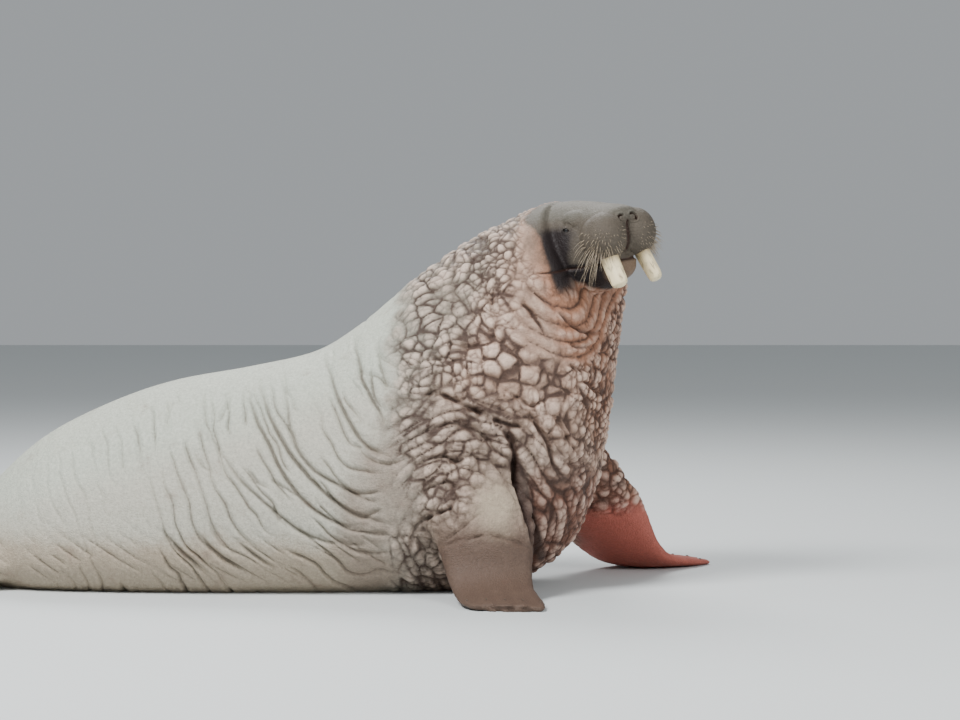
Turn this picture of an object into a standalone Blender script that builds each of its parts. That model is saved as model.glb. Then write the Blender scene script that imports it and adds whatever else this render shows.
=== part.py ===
"""Life-size still model of an adult bull walrus, propped on its fore flippers with its head
turned to its right. Metres, +Z up. The walrus faces +X, and its right side faces -Y.
The flesh is one skin of fused forms with its folds raised in it, parted by thin cuts."""

import math
import random
from itertools import product

import bmesh
import bpy
import numpy as np
from mathutils import Matrix, Vector
from mathutils.bvhtree import BVHTree

# The working frame's point, on the floor, that becomes the model's origin
ORIGIN = (-0.83, -0.05, 0.0)

VOXEL = 0.0075
GAP = 0.0003
# Skin lower than this lies flat on the floor
FLAT = 0.003
SEED = 11
HEAD_FACES = 2700
FRONT_FACES = 5900
REAR_FACES = 1350

# Trunk sections, rump to throat: back x, z, belly x, z, half width, fullness, sag, turn in degrees
TRUNK = (
    (-2.13, 0.21, -2.13, 0.08, 0.05, 2.0, 0.0, 0),
    (-2.09, 0.32, -2.10, 0.03, 0.14, 2.0, 0.1, 0),
    (-1.98, 0.46, -1.99, -0.01, 0.245, 2.0, 0.2, 0),
    (-1.80, 0.61, -1.80, -0.03, 0.34, 2.1, 0.26, 0),
    (-1.55, 0.735, -1.53, -0.04, 0.40, 2.1, 0.28, 0),
    (-1.30, 0.82, -1.24, -0.05, 0.435, 2.1, 0.28, 0),
    (-1.00, 0.875, -0.92, -0.05, 0.46, 2.1, 0.26, 0),
    (-0.74, 0.935, -0.62, -0.05, 0.475, 2.1, 0.22, 0),
    (-0.57, 1.035, -0.36, -0.04, 0.48, 2.15, 0.18, 0),
    (-0.42, 1.155, -0.10, -0.02, 0.475, 2.2, 0.15, 0),
    (-0.29, 1.255, 0.12, 0.05, 0.455, 2.2, 0.12, 0),
    (-0.17, 1.335, 0.28, 0.18, 0.43, 2.2, 0.10, 0),
    (-0.07, 1.395, 0.37, 0.38, 0.40, 2.2, 0.08, 0),
    (0.02, 1.44, 0.415, 0.60, 0.37, 2.2, 0.06, 3),
    (0.09, 1.48, 0.44, 0.80, 0.34, 2.2, 0.04, 7),
    (0.15, 1.507, 0.455, 0.97, 0.31, 2.2, 0.03, 13),
    (0.20, 1.525, 0.455, 1.11, 0.275, 2.2, 0.02, 22),
    (0.245, 1.53, 0.44, 1.20, 0.22, 2.2, 0.0, 32),
    (0.30, 1.49, 0.42, 1.26, 0.12, 2.0, 0.0, 40),
)

# The head's own frame, forward, to its left and up, starts at the back of the crown
HEAD_AT = (0.242, -0.02, 1.535)
HEAD_TURN = 49
HEAD_ROLL = 7

# Head sections, back to front: forward, top, bottom, half width, fullness, sag
CRANIUM = (
    (-0.08, -0.06, -0.26, 0.10, 2.0, 0.0),
    (-0.03, -0.012, -0.32, 0.165, 2.2, 0.05),
    (0.05, 0.0, -0.34, 0.178, 2.2, 0.10),
    (0.12, 0.0, -0.32, 0.165, 2.2, 0.10),
    (0.19, -0.003, -0.28, 0.146, 2.2, 0.10),
    (0.25, -0.008, -0.245, 0.132, 2.3, 0.05),
    (0.31, -0.012, -0.215, 0.122, 2.4, 0.0),
    (0.355, -0.022, -0.195, 0.10, 2.4, 0.0),
    (0.378, -0.05, -0.16, 0.06, 2.0, 0.0),
)
JAW = (
    (0.0, -0.16, -0.345, 0.11, 2.0, 0.0),
    (0.08, -0.16, -0.368, 0.135, 2.2, 0.0),
    (0.17, -0.17, -0.362, 0.122, 2.2, 0.0),
    (0.25, -0.18, -0.338, 0.095, 2.2, 0.0),
    (0.31, -0.195, -0.315, 0.074, 2.2, 0.0),
    (0.345, -0.205, -0.295, 0.058, 2.2, 0.0),
    (0.366, -0.225, -0.27, 0.03, 2.0, 0.0),
)
# Rounded masses of the head, whisker pads first: forward, aside, up, and their radii
MASSES = (
    (0.330, 0.080, -0.128, 0.082, 0.084, 0.096),
    (0.305, 0.102, -0.135, 0.070, 0.066, 0.085),
    (0.150, 0.105, -0.19, 0.115, 0.075, 0.13),
    (0.180, 0.095, -0.070, 0.060, 0.046, 0.046),
)

# The plane between head and neck, in the head's frame: its way forward and up, and a point of it
HEAD_CUT = (0.757, 0.654, -0.038)
HEAD_CUT_AT = (0.11, 0.0, -0.185)

# The parts that the thin cuts leave, each with a place near its middle
PARTS = {
    "head": (0.40, -0.14, 1.38),
    "neck": (0.15, 0.0, 1.28),
    "chest": (-0.10, 0.0, 0.60),
    "belly": (-1.05, 0.0, 0.42),
    "rump": (-1.80, 0.0, 0.30),
    "tail": (-2.26, 0.0, 0.05),
    "fore_flipper_right": (-0.03, -0.65, 0.12),
    "fore_flipper_left": (0.57, 0.60, 0.10),
    "hind_flipper_right": (-2.35, -0.30, 0.03),
    "hind_flipper_left": (-2.35, 0.30, 0.03),
}

EYE_AT = (0.178, 0.1375, -0.098)
EYE_RADIUS = 0.0165
EYE_WAY = (0.28, 0.95, 0.12)
LID = 0.003
SLIT_LONG = 0.016
SLIT_UP = 0.0078
SLIT_DOWN = 0.0060
SLIT_DEEP = 0.0035
NOSTRIL_AT = (0.372, 0.034, -0.062)
NOSTRIL_ROUND = 0.017
EAR_AT = (0.045, 0.175, -0.12)
# The line of the mouth on each side: forward and up
MOUTH = ((0.08, -0.235), (0.14, -0.243), (0.20, -0.247), (0.27, -0.240), (0.33, -0.226), (0.37, -0.222))

# Tusks: their root's place in the head's frame, their lie in degrees, and their worn form
TUSK_BASE = (0.325, 0.084, -0.165)
TUSK_FORWARD = 28
TUSK_SPLAY = 5
TUSK_TOE = 20
TUSK_LENGTH = 0.178
TUSK_WIDE = 0.038
TUSK_THIN = 0.029
TUSK_BOW = 0.006
TUSK_SIDES = 14
TUSK_FORM = (
    (0.0, 0.90), (0.2, 0.98), (0.45, 1.0), (0.7, 0.97), (0.88, 0.93), (0.96, 0.83), (1.0, 0.55)
)

LID_SOFT = 0.004
BEHIND_CHEEK = (0.035, 0.175, -0.16)
FACE_AT = (0.18, 0.0, -0.10)
FACE_RADIUS = 0.30

PAD_AT = (0.320, 0.080, -0.130)
WHISKER_ROWS = 5
WHISKER_STEPS = 7
WHISKER_LENGTH = 0.100
WHISKER_WIDE = 0.0019
WHISKER_ROOT = 0.008

# Relief of the hide: bosses on neck and chest, folds draped round the arm, folds of the flank
BOSS_HEIGHT = 0.015
BOSS_SIZE = 0.088
SHOULDER_AT = (-0.16, 0.24)
DRAPE_SIZE = 0.105
THROAT_AT = (0.20, 1.10)
THROAT_WAY = (0.68, 0.0, -0.73)
COLLAR_APART = 0.034
FOLD_AT = (-0.36, 1.0)
FOLD_APART = 0.062
FOLD_DEPTH = 0.012

NAIL_LENGTH = 0.018
NAIL_WIDE = 0.005
NAIL_PLACE = 53

FORE_RIGHT_WAY = (1, 0.2, 0)
FORE_LEFT_WAY = (0.7, -0.7, 0)

# Colour and roughness by a word in the part's name
FINISH = {
    "eye": ((0.02, 0.012, 0.01), 0.2),
    "tusk": ((0.80, 0.73, 0.55), 0.45),
    "head": ((0.16, 0.13, 0.10), 0.6),
    "neck": ((0.42, 0.30, 0.22), 0.6),
    "chest": ((0.38, 0.29, 0.22), 0.6),
    "fore_flipper": ((0.38, 0.22, 0.17), 0.6),
    "hind_flipper": ((0.33, 0.27, 0.22), 0.6),
    "": ((0.50, 0.48, 0.41), 0.6),
}

# Limb sections, root to tip: x, y outward, z, half width, half thickness
FORE_RIGHT = (
    (-0.22, 0.14, 0.66, 0.24, 0.14),
    (-0.16, 0.30, 0.52, 0.225, 0.13),
    (-0.10, 0.415, 0.37, 0.205, 0.105),
    (-0.06, 0.485, 0.23, 0.188, 0.080),
    (-0.045, 0.54, 0.115, 0.170, 0.058),
    (-0.03, 0.615, 0.052, 0.160, 0.042),
    (-0.01, 0.715, 0.028, 0.160, 0.030),
    (0.01, 0.825, 0.018, 0.160, 0.022),
    (0.03, 0.925, 0.010, 0.145, 0.014),
)
FORE_LEFT = (
    (0.08, 0.12, 0.64, 0.22, 0.14),
    (0.22, 0.25, 0.48, 0.20, 0.12),
    (0.35, 0.355, 0.33, 0.19, 0.10),
    (0.445, 0.425, 0.20, 0.180, 0.076),
    (0.51, 0.485, 0.105, 0.168, 0.057),
    (0.575, 0.555, 0.050, 0.160, 0.042),
    (0.645, 0.635, 0.028, 0.160, 0.030),
    (0.72, 0.72, 0.018, 0.160, 0.022),
    (0.785, 0.795, 0.010, 0.145, 0.014),
)
HIND = (
    (-1.80, 0.13, 0.17, 0.11, 0.11),
    (-1.96, 0.18, 0.115, 0.092, 0.080),
    (-2.10, 0.235, 0.062, 0.082, 0.052),
    (-2.23, 0.29, 0.036, 0.120, 0.036),
    (-2.35, 0.34, 0.022, 0.160, 0.026),
    (-2.46, 0.385, 0.012, 0.190, 0.016),
)
TAIL = (
    (-2.00, 0.0, 0.17, 0.08, 0.08),
    (-2.11, 0.0, 0.11, 0.065, 0.05),
    (-2.20, 0.0, 0.065, 0.052, 0.032),
    (-2.27, 0.0, 0.04, 0.028, 0.018),
)
DIGITS = 5

# Long folds on the side of the body, as x, z: their depth and half width, then their points
LONG_FOLDS = (
    (0.020, 0.011, (-1.10, 0.57), (-0.99, 0.44), (-0.88, 0.34), (-0.72, 0.23), (-0.62, 0.21)),
    (0.024, 0.011, (-1.00, 0.80), (-0.93, 0.65), (-0.82, 0.45), (-0.68, 0.31), (-0.54, 0.27)),
    (0.026, 0.011, (-0.96, 0.83), (-0.87, 0.65), (-0.76, 0.49), (-0.64, 0.37), (-0.43, 0.28)),
    (0.020, 0.011, (-0.86, 0.87), (-0.81, 0.64), (-0.72, 0.49), (-0.56, 0.40), (-0.48, 0.37)),
    (0.020, 0.012, (-0.70, 0.92), (-0.62, 0.74), (-0.52, 0.60), (-0.42, 0.54)),
    (0.022, 0.012, (-0.58, 0.99), (-0.54, 0.84), (-0.48, 0.74), (-0.44, 0.68)),
    (0.018, 0.010, (-0.56, 0.60), (-0.50, 0.54), (-0.42, 0.52), (-0.34, 0.55)),
    (0.012, 0.011, (-1.19, 0.79), (-1.16, 0.73), (-1.14, 0.66)),
    (0.020, 0.012, (-1.31, 0.25), (-1.24, 0.17), (-1.15, 0.10)),
    (0.020, 0.012, (-1.17, 0.24), (-1.09, 0.16), (-1.00, 0.09)),
    (0.016, 0.012, (-1.05, 0.27), (-0.97, 0.18), (-0.88, 0.11)),
    (0.034, 0.013, (-0.33, 0.79), (-0.23, 0.79), (-0.13, 0.74), (0.04, 0.67), (0.10, 0.68)),
    (0.045, 0.015, (-0.01, 0.67), (0.05, 0.59), (0.08, 0.47), (0.12, 0.33), (0.14, 0.20)),
    (0.026, 0.012, (0.10, 0.74), (0.14, 0.66), (0.19, 0.59), (0.21, 0.50)),
    (0.026, 0.012, (-0.02, 1.18), (0.10, 1.14), (0.16, 1.07), (0.19, 1.00)),
    (0.026, 0.012, (0.20, 1.13), (0.27, 1.06), (0.34, 1.03), (0.40, 1.04)),
    (0.022, 0.012, (0.19, 0.98), (0.28, 0.965), (0.36, 0.98), (0.45, 0.985)),
    (0.024, 0.012, (-0.28, 0.64), (-0.21, 0.67), (-0.12, 0.67), (-0.03, 0.60), (0.03, 0.54)),
    (0.022, 0.012, (-0.34, 0.56), (-0.22, 0.56), (-0.12, 0.55), (0.02, 0.50)),
    (0.020, 0.012, (-0.22, 0.44), (-0.12, 0.45), (-0.02, 0.48), (0.08, 0.46)),
)


def spline(rows, count):
    """Rows of numbers on one smooth curve through the given rows."""
    rows = np.asarray(rows, float)
    place = np.linspace(0, len(rows) - 1, count)
    i = np.clip(place.astype(int), 0, len(rows) - 2)
    f = (place - i)[:, None]
    padded = np.vstack([2 * rows[0] - rows[1], rows, 2 * rows[-1] - rows[-2]])
    a, b, c, d = (padded[i + k] for k in range(4))
    return 0.5 * (
        2 * b + (c - a) * f + (2 * a - 5 * b + 4 * c - d) * f**2 + (3 * b - 3 * c + d - a) * f**3
    )


def ramp(value, low, high):
    """0 below low, 1 above high, smooth between."""
    share = np.clip((value - low) / (high - low), 0, 1)
    return share * share * (3 - 2 * share)


def outline(fullness, sag, around):
    """A unit section: how far aside and how far up each of its points lies."""
    angle = np.linspace(0, 2 * math.pi, around, endpoint=False)
    aside = np.sign(np.sin(angle)) * np.abs(np.sin(angle)) ** (2 / fullness)
    up = np.sign(np.cos(angle)) * np.abs(np.cos(angle)) ** (2 / fullness)
    return aside, up - sag * (1 - up**2)


def mesh_object(name, bm):
    mesh = bpy.data.meshes.new(name)
    bm.to_mesh(mesh)
    bm.free()
    made = bpy.data.objects.new(name, mesh)
    bpy.context.scene.collection.objects.link(made)
    return made


def loft(name, rings):
    """A closed mesh over rings of points, each end closed by one face."""
    bm = bmesh.new()
    verts = [[bm.verts.new(point) for point in ring] for ring in rings]
    for back, front in zip(verts, verts[1:]):
        for i in range(len(back)):
            j = (i + 1) % len(back)
            bm.faces.new((back[i], back[j], front[j], front[i]))
    bm.faces.new(verts[0][::-1])
    bm.faces.new(verts[-1])
    bmesh.ops.recalc_face_normals(bm, faces=bm.faces)
    return mesh_object(name, bm)


def trunk():
    """Rump, belly, chest and neck in one loft."""
    rings = []
    for row in spline(TRUNK, 150):
        back, belly = np.array((row[0], 0, row[1])), np.array((row[2], 0, row[3]))
        turn = math.radians(row[7])
        left = np.array((math.sin(turn), math.cos(turn), 0))
        aside, up = outline(row[5], row[6], 96)
        middle = (back + belly) / 2
        rings.append(middle + np.outer(up, (back - belly) / 2) + np.outer(aside, row[4] * left))
    return loft("trunk", np.array(rings))


def head_matrix():
    """The head's own frame, forward, left and up, in the working frame."""
    turn = Matrix.Rotation(math.radians(-HEAD_TURN), 4, "Z")
    roll = Matrix.Rotation(math.radians(HEAD_ROLL), 4, "X")
    return Matrix.Translation(HEAD_AT) @ turn @ roll


def head_place(forward, left, up):
    """A place given in the head's frame, in the working frame."""
    return head_matrix() @ Vector((forward, left, up))


def head_forms():
    """Cranium, jaw, whisker pads, cheeks and brows, as overlapping closed forms."""
    forms = []
    for name, rows in (("cranium", CRANIUM), ("jaw", JAW)):
        rings = []
        for forward, top, bottom, width, fullness, sag in spline(rows, 40):
            aside, up = outline(fullness, sag, 48)
            height = (top + bottom) / 2 + up * (top - bottom) / 2
            rings.append(np.stack([np.full(48, forward), aside * width, height], axis=1))
        forms.append(loft(name, np.array(rings)))
    for side, (forward, aside, up, *radii) in product((1, -1), MASSES):
        place = Matrix.Translation((forward, side * aside, up)) @ Matrix.Diagonal((*radii, 1))
        forms.append(ball("mass", place, 32, 20))
    for form in forms:
        form.data.transform(head_matrix())
    return forms


def ball(name, place, around, high):
    """A unit ball put in place by a matrix."""
    bm = bmesh.new()
    bmesh.ops.create_uvsphere(bm, u_segments=around, v_segments=high, radius=1)
    bmesh.ops.transform(bm, matrix=place, verts=bm.verts)
    return mesh_object(name, bm)


def limb(name, rows, side, root_way, tip_way, reach):
    """A flipper with its arm or leg: flat sections along a bent path, with its digits at the end.

    root_way and tip_way point from its hind edge to its leading edge. reach gives how far each
    point across the tip goes past the last section."""
    rows = spline(rows, 60)
    rows[:, 1] *= side
    ways = np.gradient(rows[:, :3], axis=0)
    ways /= np.linalg.norm(ways, axis=1)[:, None]
    aside, up = outline(2.0, 0.0, 64)
    rings = []
    for i, (row, way) in enumerate(zip(rows, ways)):
        share = i / (len(rows) - 1)
        hand = np.clip((share - 0.55) / 0.45, 0, 1)
        across = np.array(root_way) * (1 - share) + np.array(tip_way) * share
        across -= way * (across @ way)
        across /= np.linalg.norm(across)
        ridge = 1 + 0.25 * hand * np.cos(aside * DIGITS * math.pi)
        points = row[:3] + np.outer(aside * row[3], across)
        points += np.outer(up * ridge * row[4], np.cross(way, across))
        rings.append(points + np.outer(reach(aside) * hand**1.5, way))
    return loft(name, np.array(rings))


def fore_reach(aside):
    """The fore flipper's tip: the first digit the longest, the others shorter in turn."""
    return 0.045 * aside + 0.012 * np.cos(aside * DIGITS * math.pi) - 0.03 * aside**2


def hind_reach(aside):
    """The hind flipper's tip: the outer digits the longest, lobed between."""
    return 0.075 * aside**2 + 0.018 * np.cos(aside * DIGITS * math.pi) - 0.02


def flesh_forms():
    forms = [trunk(), *head_forms()]
    forms.append(limb("fore_right", FORE_RIGHT, -1, (1, 0, 0.1), FORE_RIGHT_WAY, fore_reach))
    forms.append(limb("fore_left", FORE_LEFT, 1, (1, 0, 0.1), FORE_LEFT_WAY, fore_reach))
    for side in (1, -1):
        forms.append(limb("hind", HIND, side, (0.1, side, 0), (0.4, side, 0), hind_reach))
    forms.append(limb("tail", TAIL, 1, (0, 1, 0), (0, 1, 0), lambda aside: 0 * aside))
    return forms


def modified(made, kind, **settings):
    """The object with one modifier applied to its mesh."""
    modifier = made.modifiers.new(kind.lower(), kind)
    for name, value in settings.items():
        setattr(modifier, name, value)
    shape = made.evaluated_get(bpy.context.evaluated_depsgraph_get())
    mesh = bpy.data.meshes.new_from_object(shape)
    made.modifiers.remove(modifier)
    made.data = mesh
    return made


def fused(forms):
    """All the forms as one skin of even faces."""
    whole = bmesh.new()
    for form in forms:
        whole.from_mesh(form.data)
        bpy.data.objects.remove(form)
    return modified(mesh_object("flesh", whole), "REMESH", mode="VOXEL", voxel_size=VOXEL)


def vectors(mesh, what="co"):
    flat = np.empty(len(mesh.vertices) * 3, np.float32)
    mesh.vertices.foreach_get(what, flat)
    return flat.reshape(-1, 3).astype(float)


def relax(points, mesh, weight, rounds):
    """Points drawn towards the mean of their neighbours, by a weight for each."""
    ends = np.empty(len(mesh.edges) * 2, np.int32)
    mesh.edges.foreach_get("vertices", ends)
    one, two = ends.reshape(-1, 2).T
    count = np.bincount(ends, minlength=len(points))
    for _ in range(rounds):
        mean = np.empty_like(points)
        for axis in range(3):
            total = np.bincount(one, points[two, axis], len(points))
            total += np.bincount(two, points[one, axis], len(points))
            mean[:, axis] = total / count
        points = points + (mean - points) * weight[:, None]
    return points


def own_frame(points):
    """Points of the working frame in the head's frame."""
    inverse = np.array(head_matrix().inverted())
    return points @ inverse[:3, :3].T + inverse[:3, 3]


def near(points, centre, radius):
    """1 at a centre, fading to 0 at a radius."""
    return 1 - ramp(np.linalg.norm(points - np.array(centre), axis=1), 0.35 * radius, radius)


class Noise:
    """Smooth noise and cell noise in space, the same at each run."""

    SIZE = 64

    def __init__(self, seed):
        rng = np.random.default_rng(seed)
        self.level = rng.uniform(-1, 1, (self.SIZE,) * 3)
        self.jitter = rng.uniform(0.1, 0.9, (self.SIZE,) * 3 + (3,))

    def smooth(self, points, size):
        """Value noise between -1 and 1, with lumps about as wide as size."""
        place = points / size
        base = np.floor(place).astype(int)
        share = place - base
        share = share * share * (3 - 2 * share)
        total = np.zeros(len(points))
        for corner in product((0, 1), repeat=3):
            i, j, k = ((base + corner) % self.SIZE).T
            weight = np.prod(np.where(corner, share, 1 - share), axis=1)
            total += weight * self.level[i, j, k]
        return total

    def cells(self, points, size):
        """The distances to the nearest and the second nearest cell centre, in cells."""
        place = points / size
        base = np.floor(place).astype(int)
        first = np.full(len(points), 9.0)
        second = first.copy()
        for step in product((-1, 0, 1), repeat=3):
            cell = base + step
            i, j, k = (cell % self.SIZE).T
            apart = np.linalg.norm(cell + self.jitter[i, j, k] - place, axis=1)
            second = np.minimum(second, np.maximum(first, apart))
            first = np.minimum(first, apart)
        return first, second


def pillows(noise, points, size):
    """Rounded lumps parted by creases, 0 in the creases and about 1 on the lumps."""
    first, second = noise.cells(points, size)
    rise = np.clip((second - first) / 0.75, 0, 1)
    return (1 - (1 - rise) ** 2) * (1.1 - 0.4 * first**2)


def bell(value, width):
    """1 where value is 0, fading on both sides over about width."""
    return np.exp(-((value / width) ** 2))


def between(value, low, high, soft):
    """1 between low and high, fading to 0 over soft on both sides."""
    return ramp(value, low - soft, low) * (1 - ramp(value, high, high + soft))


def long_folds(points):
    """How deep the long folds on each side cut into the skin."""
    depth = np.zeros(len(points))
    flat = points[:, [0, 2]]
    for deep, wide, *route in LONG_FOLDS:
        route = spline(route, 30)
        low, high = route.min(axis=0) - 4 * wide, route.max(axis=0) + 4 * wide
        close = np.flatnonzero(((flat > low) & (flat < high)).all(axis=1))
        best = np.full(len(close), 9.0)
        along = np.zeros(len(close))
        for i, (start, end) in enumerate(zip(route, route[1:])):
            way = end - start
            share = np.clip((flat[close] - start) @ way / (way @ way), 0, 1)
            apart = np.linalg.norm(flat[close] - start - np.outer(share, way), axis=1)
            along = np.where(apart < best, (i + share) / (len(route) - 1), along)
            best = np.minimum(best, apart)
        fade = np.sqrt(np.clip(np.sin(np.clip(along, 0.02, 0.98) * math.pi), 0, 1))
        valley = bell(best, wide) - 0.3 * bell(best - 2.3 * wide, wide)
        depth[close] = np.maximum(depth[close], deep * fade * valley)
    return depth


def skin_relief(points, normals):
    """How far each point of the skin stands out, in metres: bosses, creases and folds."""
    noise = Noise(SEED)
    x, y, z = points.T
    wander = np.stack([noise.smooth(points + shift, 0.16) for shift in (0, 3.3, 7.1)], axis=1)
    ripple = np.stack([noise.smooth(points + shift, 0.045) for shift in (50, 53, 57)], axis=1)
    way = np.array(THROAT_WAY)
    stretch = bell(x - THROAT_AT[0], 0.20) * bell(z - THROAT_AT[1], 0.20)
    along = (points - (THROAT_AT[0], 0, THROAT_AT[1])) @ way * 0.5 * stretch
    loose = points + 0.022 * wander + 0.007 * ripple - np.outer(along, way)

    front = ramp(x, -0.50 - 0.05 * wander[:, 0], -0.36 - 0.05 * wander[:, 0])
    head = ramp(head_share(points), -0.04, 0.03) * ramp(z, 1.0, 1.15)
    low = 1 - ramp(z, 0.16, 0.42)
    hand = low * ramp(np.abs(y), 0.40, 0.46) * ramp(x, -0.42, -0.28)
    uneven = 1 + 0.3 * noise.smooth(points + 60, 0.075)
    bosses = 1.15 * pillows(noise, loose, BOSS_SIZE) * uneven - 0.6

    out = np.hypot(x - SHOULDER_AT[0], (z - SHOULDER_AT[1]) * 0.9)
    turn = np.arctan2(z - SHOULDER_AT[1], x - SHOULDER_AT[0])
    polar = np.stack([out * 2.1, turn * 0.22, np.sign(y) + 0.05 * y], axis=1) + 0.05 * wander
    around_arm = (1 - ramp(out, 0.38, 0.62)) * ramp(np.abs(normals[:, 1]), 0.25, 0.6) * 0.8
    draped = 1.15 * pillows(noise, polar, DRAPE_SIZE) - 0.65
    bosses = bosses * (1 - around_arm) + draped * around_arm
    bosses *= 1 - 0.85 * bell(x + 0.02, 0.10) * bell(z - 0.36, 0.11) * (y < -0.3)

    collar = head_share(points) + 0.012 * wander[:, 2]
    wave = np.abs(np.sin(math.pi * collar / COLLAR_APART)) - 0.5
    on_collar = between(collar, -0.14, -0.03, 0.03) * ramp(x, 0.0, 0.15)
    bosses = bosses * (1 - 0.6 * on_collar) + 0.5 * on_collar * wave

    ring = np.hypot(x - FOLD_AT[0], (z - FOLD_AT[1]) / 1.25) + 0.03 * wander[:, 1]
    ring += 0.012 * noise.smooth(points + 20, 0.07)
    folds = np.exp(-((np.abs(np.sin(math.pi * ring / FOLD_APART)) / 0.30) ** 1.4)) - 0.25
    some = ramp(noise.smooth(points * (1, 1, 0.5) + 31, 0.14), -0.2, 0.5)
    flank = (1 - front) * (1 - head) * ramp(x, -2.1, -1.2) * ramp(0.86 - z, 0, 0.35)
    side = ramp(np.abs(normals[:, 1]), 0.15, 0.45)
    height = BOSS_HEIGHT * bosses * front * (1 - head) * (1 - 0.9 * hand)
    height -= FOLD_DEPTH * folds * some * flank
    return height - long_folds(points + 0.008 * wander) * side * (1 - head)


def folded(own):
    """Points of the head's frame, all on its left side."""
    return own * (1, 0, 1) + np.abs(own) * (0, 1, 0)


def face_relief(own):
    """Groove between the pads, nostrils, ear holes and mouth, in the head's frame."""
    forward, left, up = folded(own).T
    near_front = ramp(forward, 0.30, 0.34)
    groove = bell(left, 0.008) * ramp(forward, 0.33, 0.36) * ramp(-up, 0.06, 0.08)
    relief = -0.012 * groove * (1 - ramp(-up, 0.19, 0.21))
    aside, above = left - NOSTRIL_AT[1] + 0.006, up - NOSTRIL_AT[2]
    round_it = np.hypot(aside, above * 1.25)
    slit = bell(round_it - NOSTRIL_ROUND, 0.0045) * ramp(np.cos(np.arctan2(above, aside) - 0.7), -0.25, 0.35)
    rims = 0.004 * bell(round_it - 0.008, 0.007) + 0.0035 * bell(round_it - 0.026, 0.005)
    relief += (rims - 0.014 * slit) * near_front
    apart = np.linalg.norm(folded(own) - EAR_AT, axis=1)
    relief += 0.009 * bell(apart - 0.020, 0.008) - 0.014 * bell(apart, 0.008)
    route = spline(MOUTH, 30)
    flat = np.stack([forward, up], axis=1)
    best = np.full(len(own), 9.0)
    below = np.zeros(len(own))
    for start, end in zip(route, route[1:]):
        way = end - start
        share = np.clip((flat - start) @ way / (way @ way), 0, 1)
        gap = flat - start - np.outer(share, way)
        length = np.linalg.norm(gap, axis=1)
        below = np.where(length < best, gap[:, 1], below)
        best = np.minimum(best, length)
    relief -= 0.011 * np.exp(-best / 0.006) * ramp(forward, 0.08, 0.14)
    return relief + 0.004 * bell(below + 0.014, 0.008) * (best < 0.03)


def eye_axes():
    """The left eye's way out, the way along its slit, and the way across it."""
    out = Vector(EYE_WAY).normalized()
    along = Vector((1.0, 0.0, -0.10))
    along = (along - out * out.dot(along)).normalized()
    return np.array(out), np.array(along), np.array(along.cross(out))


def lidded(own):
    """Lids drawn over each eye, and the skin in the slit between them sunk behind the eye."""
    out, along, across = eye_axes()
    made = own.copy()
    for side in (1, -1):
        flip = np.array((1, side, 1))
        apart = own * flip - EYE_AT
        reach, u, v = apart @ out, apart @ along, apart @ across
        wide = np.hypot(u, v)
        here = (wide < 0.045) & (reach > -0.03)
        cover = EYE_RADIUS + LID
        dome = np.where(wide < cover, np.sqrt(np.clip(cover**2 - wide**2, 0, None)), -0.02)
        raised = LID_SOFT * np.logaddexp(reach / LID_SOFT, dome / LID_SOFT)
        raised = np.where(wide < 0.035, raised, reach)
        half = np.clip(1 - (u / SLIT_LONG) ** 2, 0, 1)
        edge = np.where(v > 0, v - SLIT_UP * half, -v - SLIT_DOWN * half)
        edge = np.where(np.abs(u) > SLIT_LONG, np.maximum(edge, 0.004), edge)
        ball = np.sqrt(np.clip(EYE_RADIUS**2 - wide**2, 0, None))
        inside = 1 - ramp(edge, -0.0022, 0.0008)
        raised = raised * (1 - inside) + (ball - SLIT_DEEP) * inside
        raised -= 0.0028 * bell(wide - 0.027, 0.0035) * ramp(v, -0.012, 0.006)
        made = np.where(here[:, None], made + np.outer(raised - reach, out * flip), made)
    return made


def refined(flesh):
    """The skin with the faces of the head split once, and those at its features again."""
    spots = ((EYE_AT, 0.036), (NOSTRIL_AT, 0.036), (EAR_AT, 0.030))
    for level in range(2):
        points = vectors(flesh.data)
        own = folded(own_frame(points))
        if level == 0:
            chosen = (head_share(points) > -0.01) & (points[:, 2] > 1.05)
        else:
            close = [np.linalg.norm(own - at, axis=1) < wide for at, wide in spots]
            chosen = np.any(close, axis=0)
        bm = bmesh.new()
        bm.from_mesh(flesh.data)
        edges = [e for e in bm.edges if chosen[e.verts[0].index] and chosen[e.verts[1].index]]
        bmesh.ops.subdivide_edges(bm, edges=edges, cuts=1, use_grid_fill=True)
        bm.to_mesh(flesh.data)
        bm.free()
    return flesh


def wrinkled(flesh):
    """The skin relaxed where forms meet, raised in its folds, and flat where it rests."""
    mesh = flesh.data
    points = vectors(mesh)
    weight = np.full(len(points), 0.12)
    for centre, radius, strength in (
        ((-0.12, -0.39, 0.42), 0.36, 0.9),
        ((0.30, 0.33, 0.42), 0.34, 0.9),
        ((-2.00, -0.20, 0.12), 0.20, 0.6),
        ((-2.00, 0.20, 0.12), 0.20, 0.6),
        (head_place(*BEHIND_CHEEK), 0.16, 0.9),
        (head_place(BEHIND_CHEEK[0], -BEHIND_CHEEK[1], BEHIND_CHEEK[2]), 0.16, 0.9),
    ):
        weight = np.maximum(weight, strength * near(points, centre, radius))
    points = relax(points, mesh, np.minimum(weight, 0.6), 40)
    mesh.vertices.foreach_set("co", points.astype(np.float32).ravel())
    mesh.update()
    normals = vectors(mesh, "normal")
    own = own_frame(points)
    stand = skin_relief(points, normals) + face_relief(own)
    points = points + normals * stand[:, None]
    at_face = np.linalg.norm(own - FACE_AT, axis=1) < FACE_RADIUS
    frame = np.array(head_matrix())
    opened = lidded(own_frame(points)) @ frame[:3, :3].T + frame[:3, 3]
    points = np.where(at_face[:, None], opened, points)
    points[:, 2] = np.maximum(points[:, 2], 0.0)
    mesh.vertices.foreach_set("co", points.astype(np.float32).ravel())
    mesh.update()
    return flesh


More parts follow.
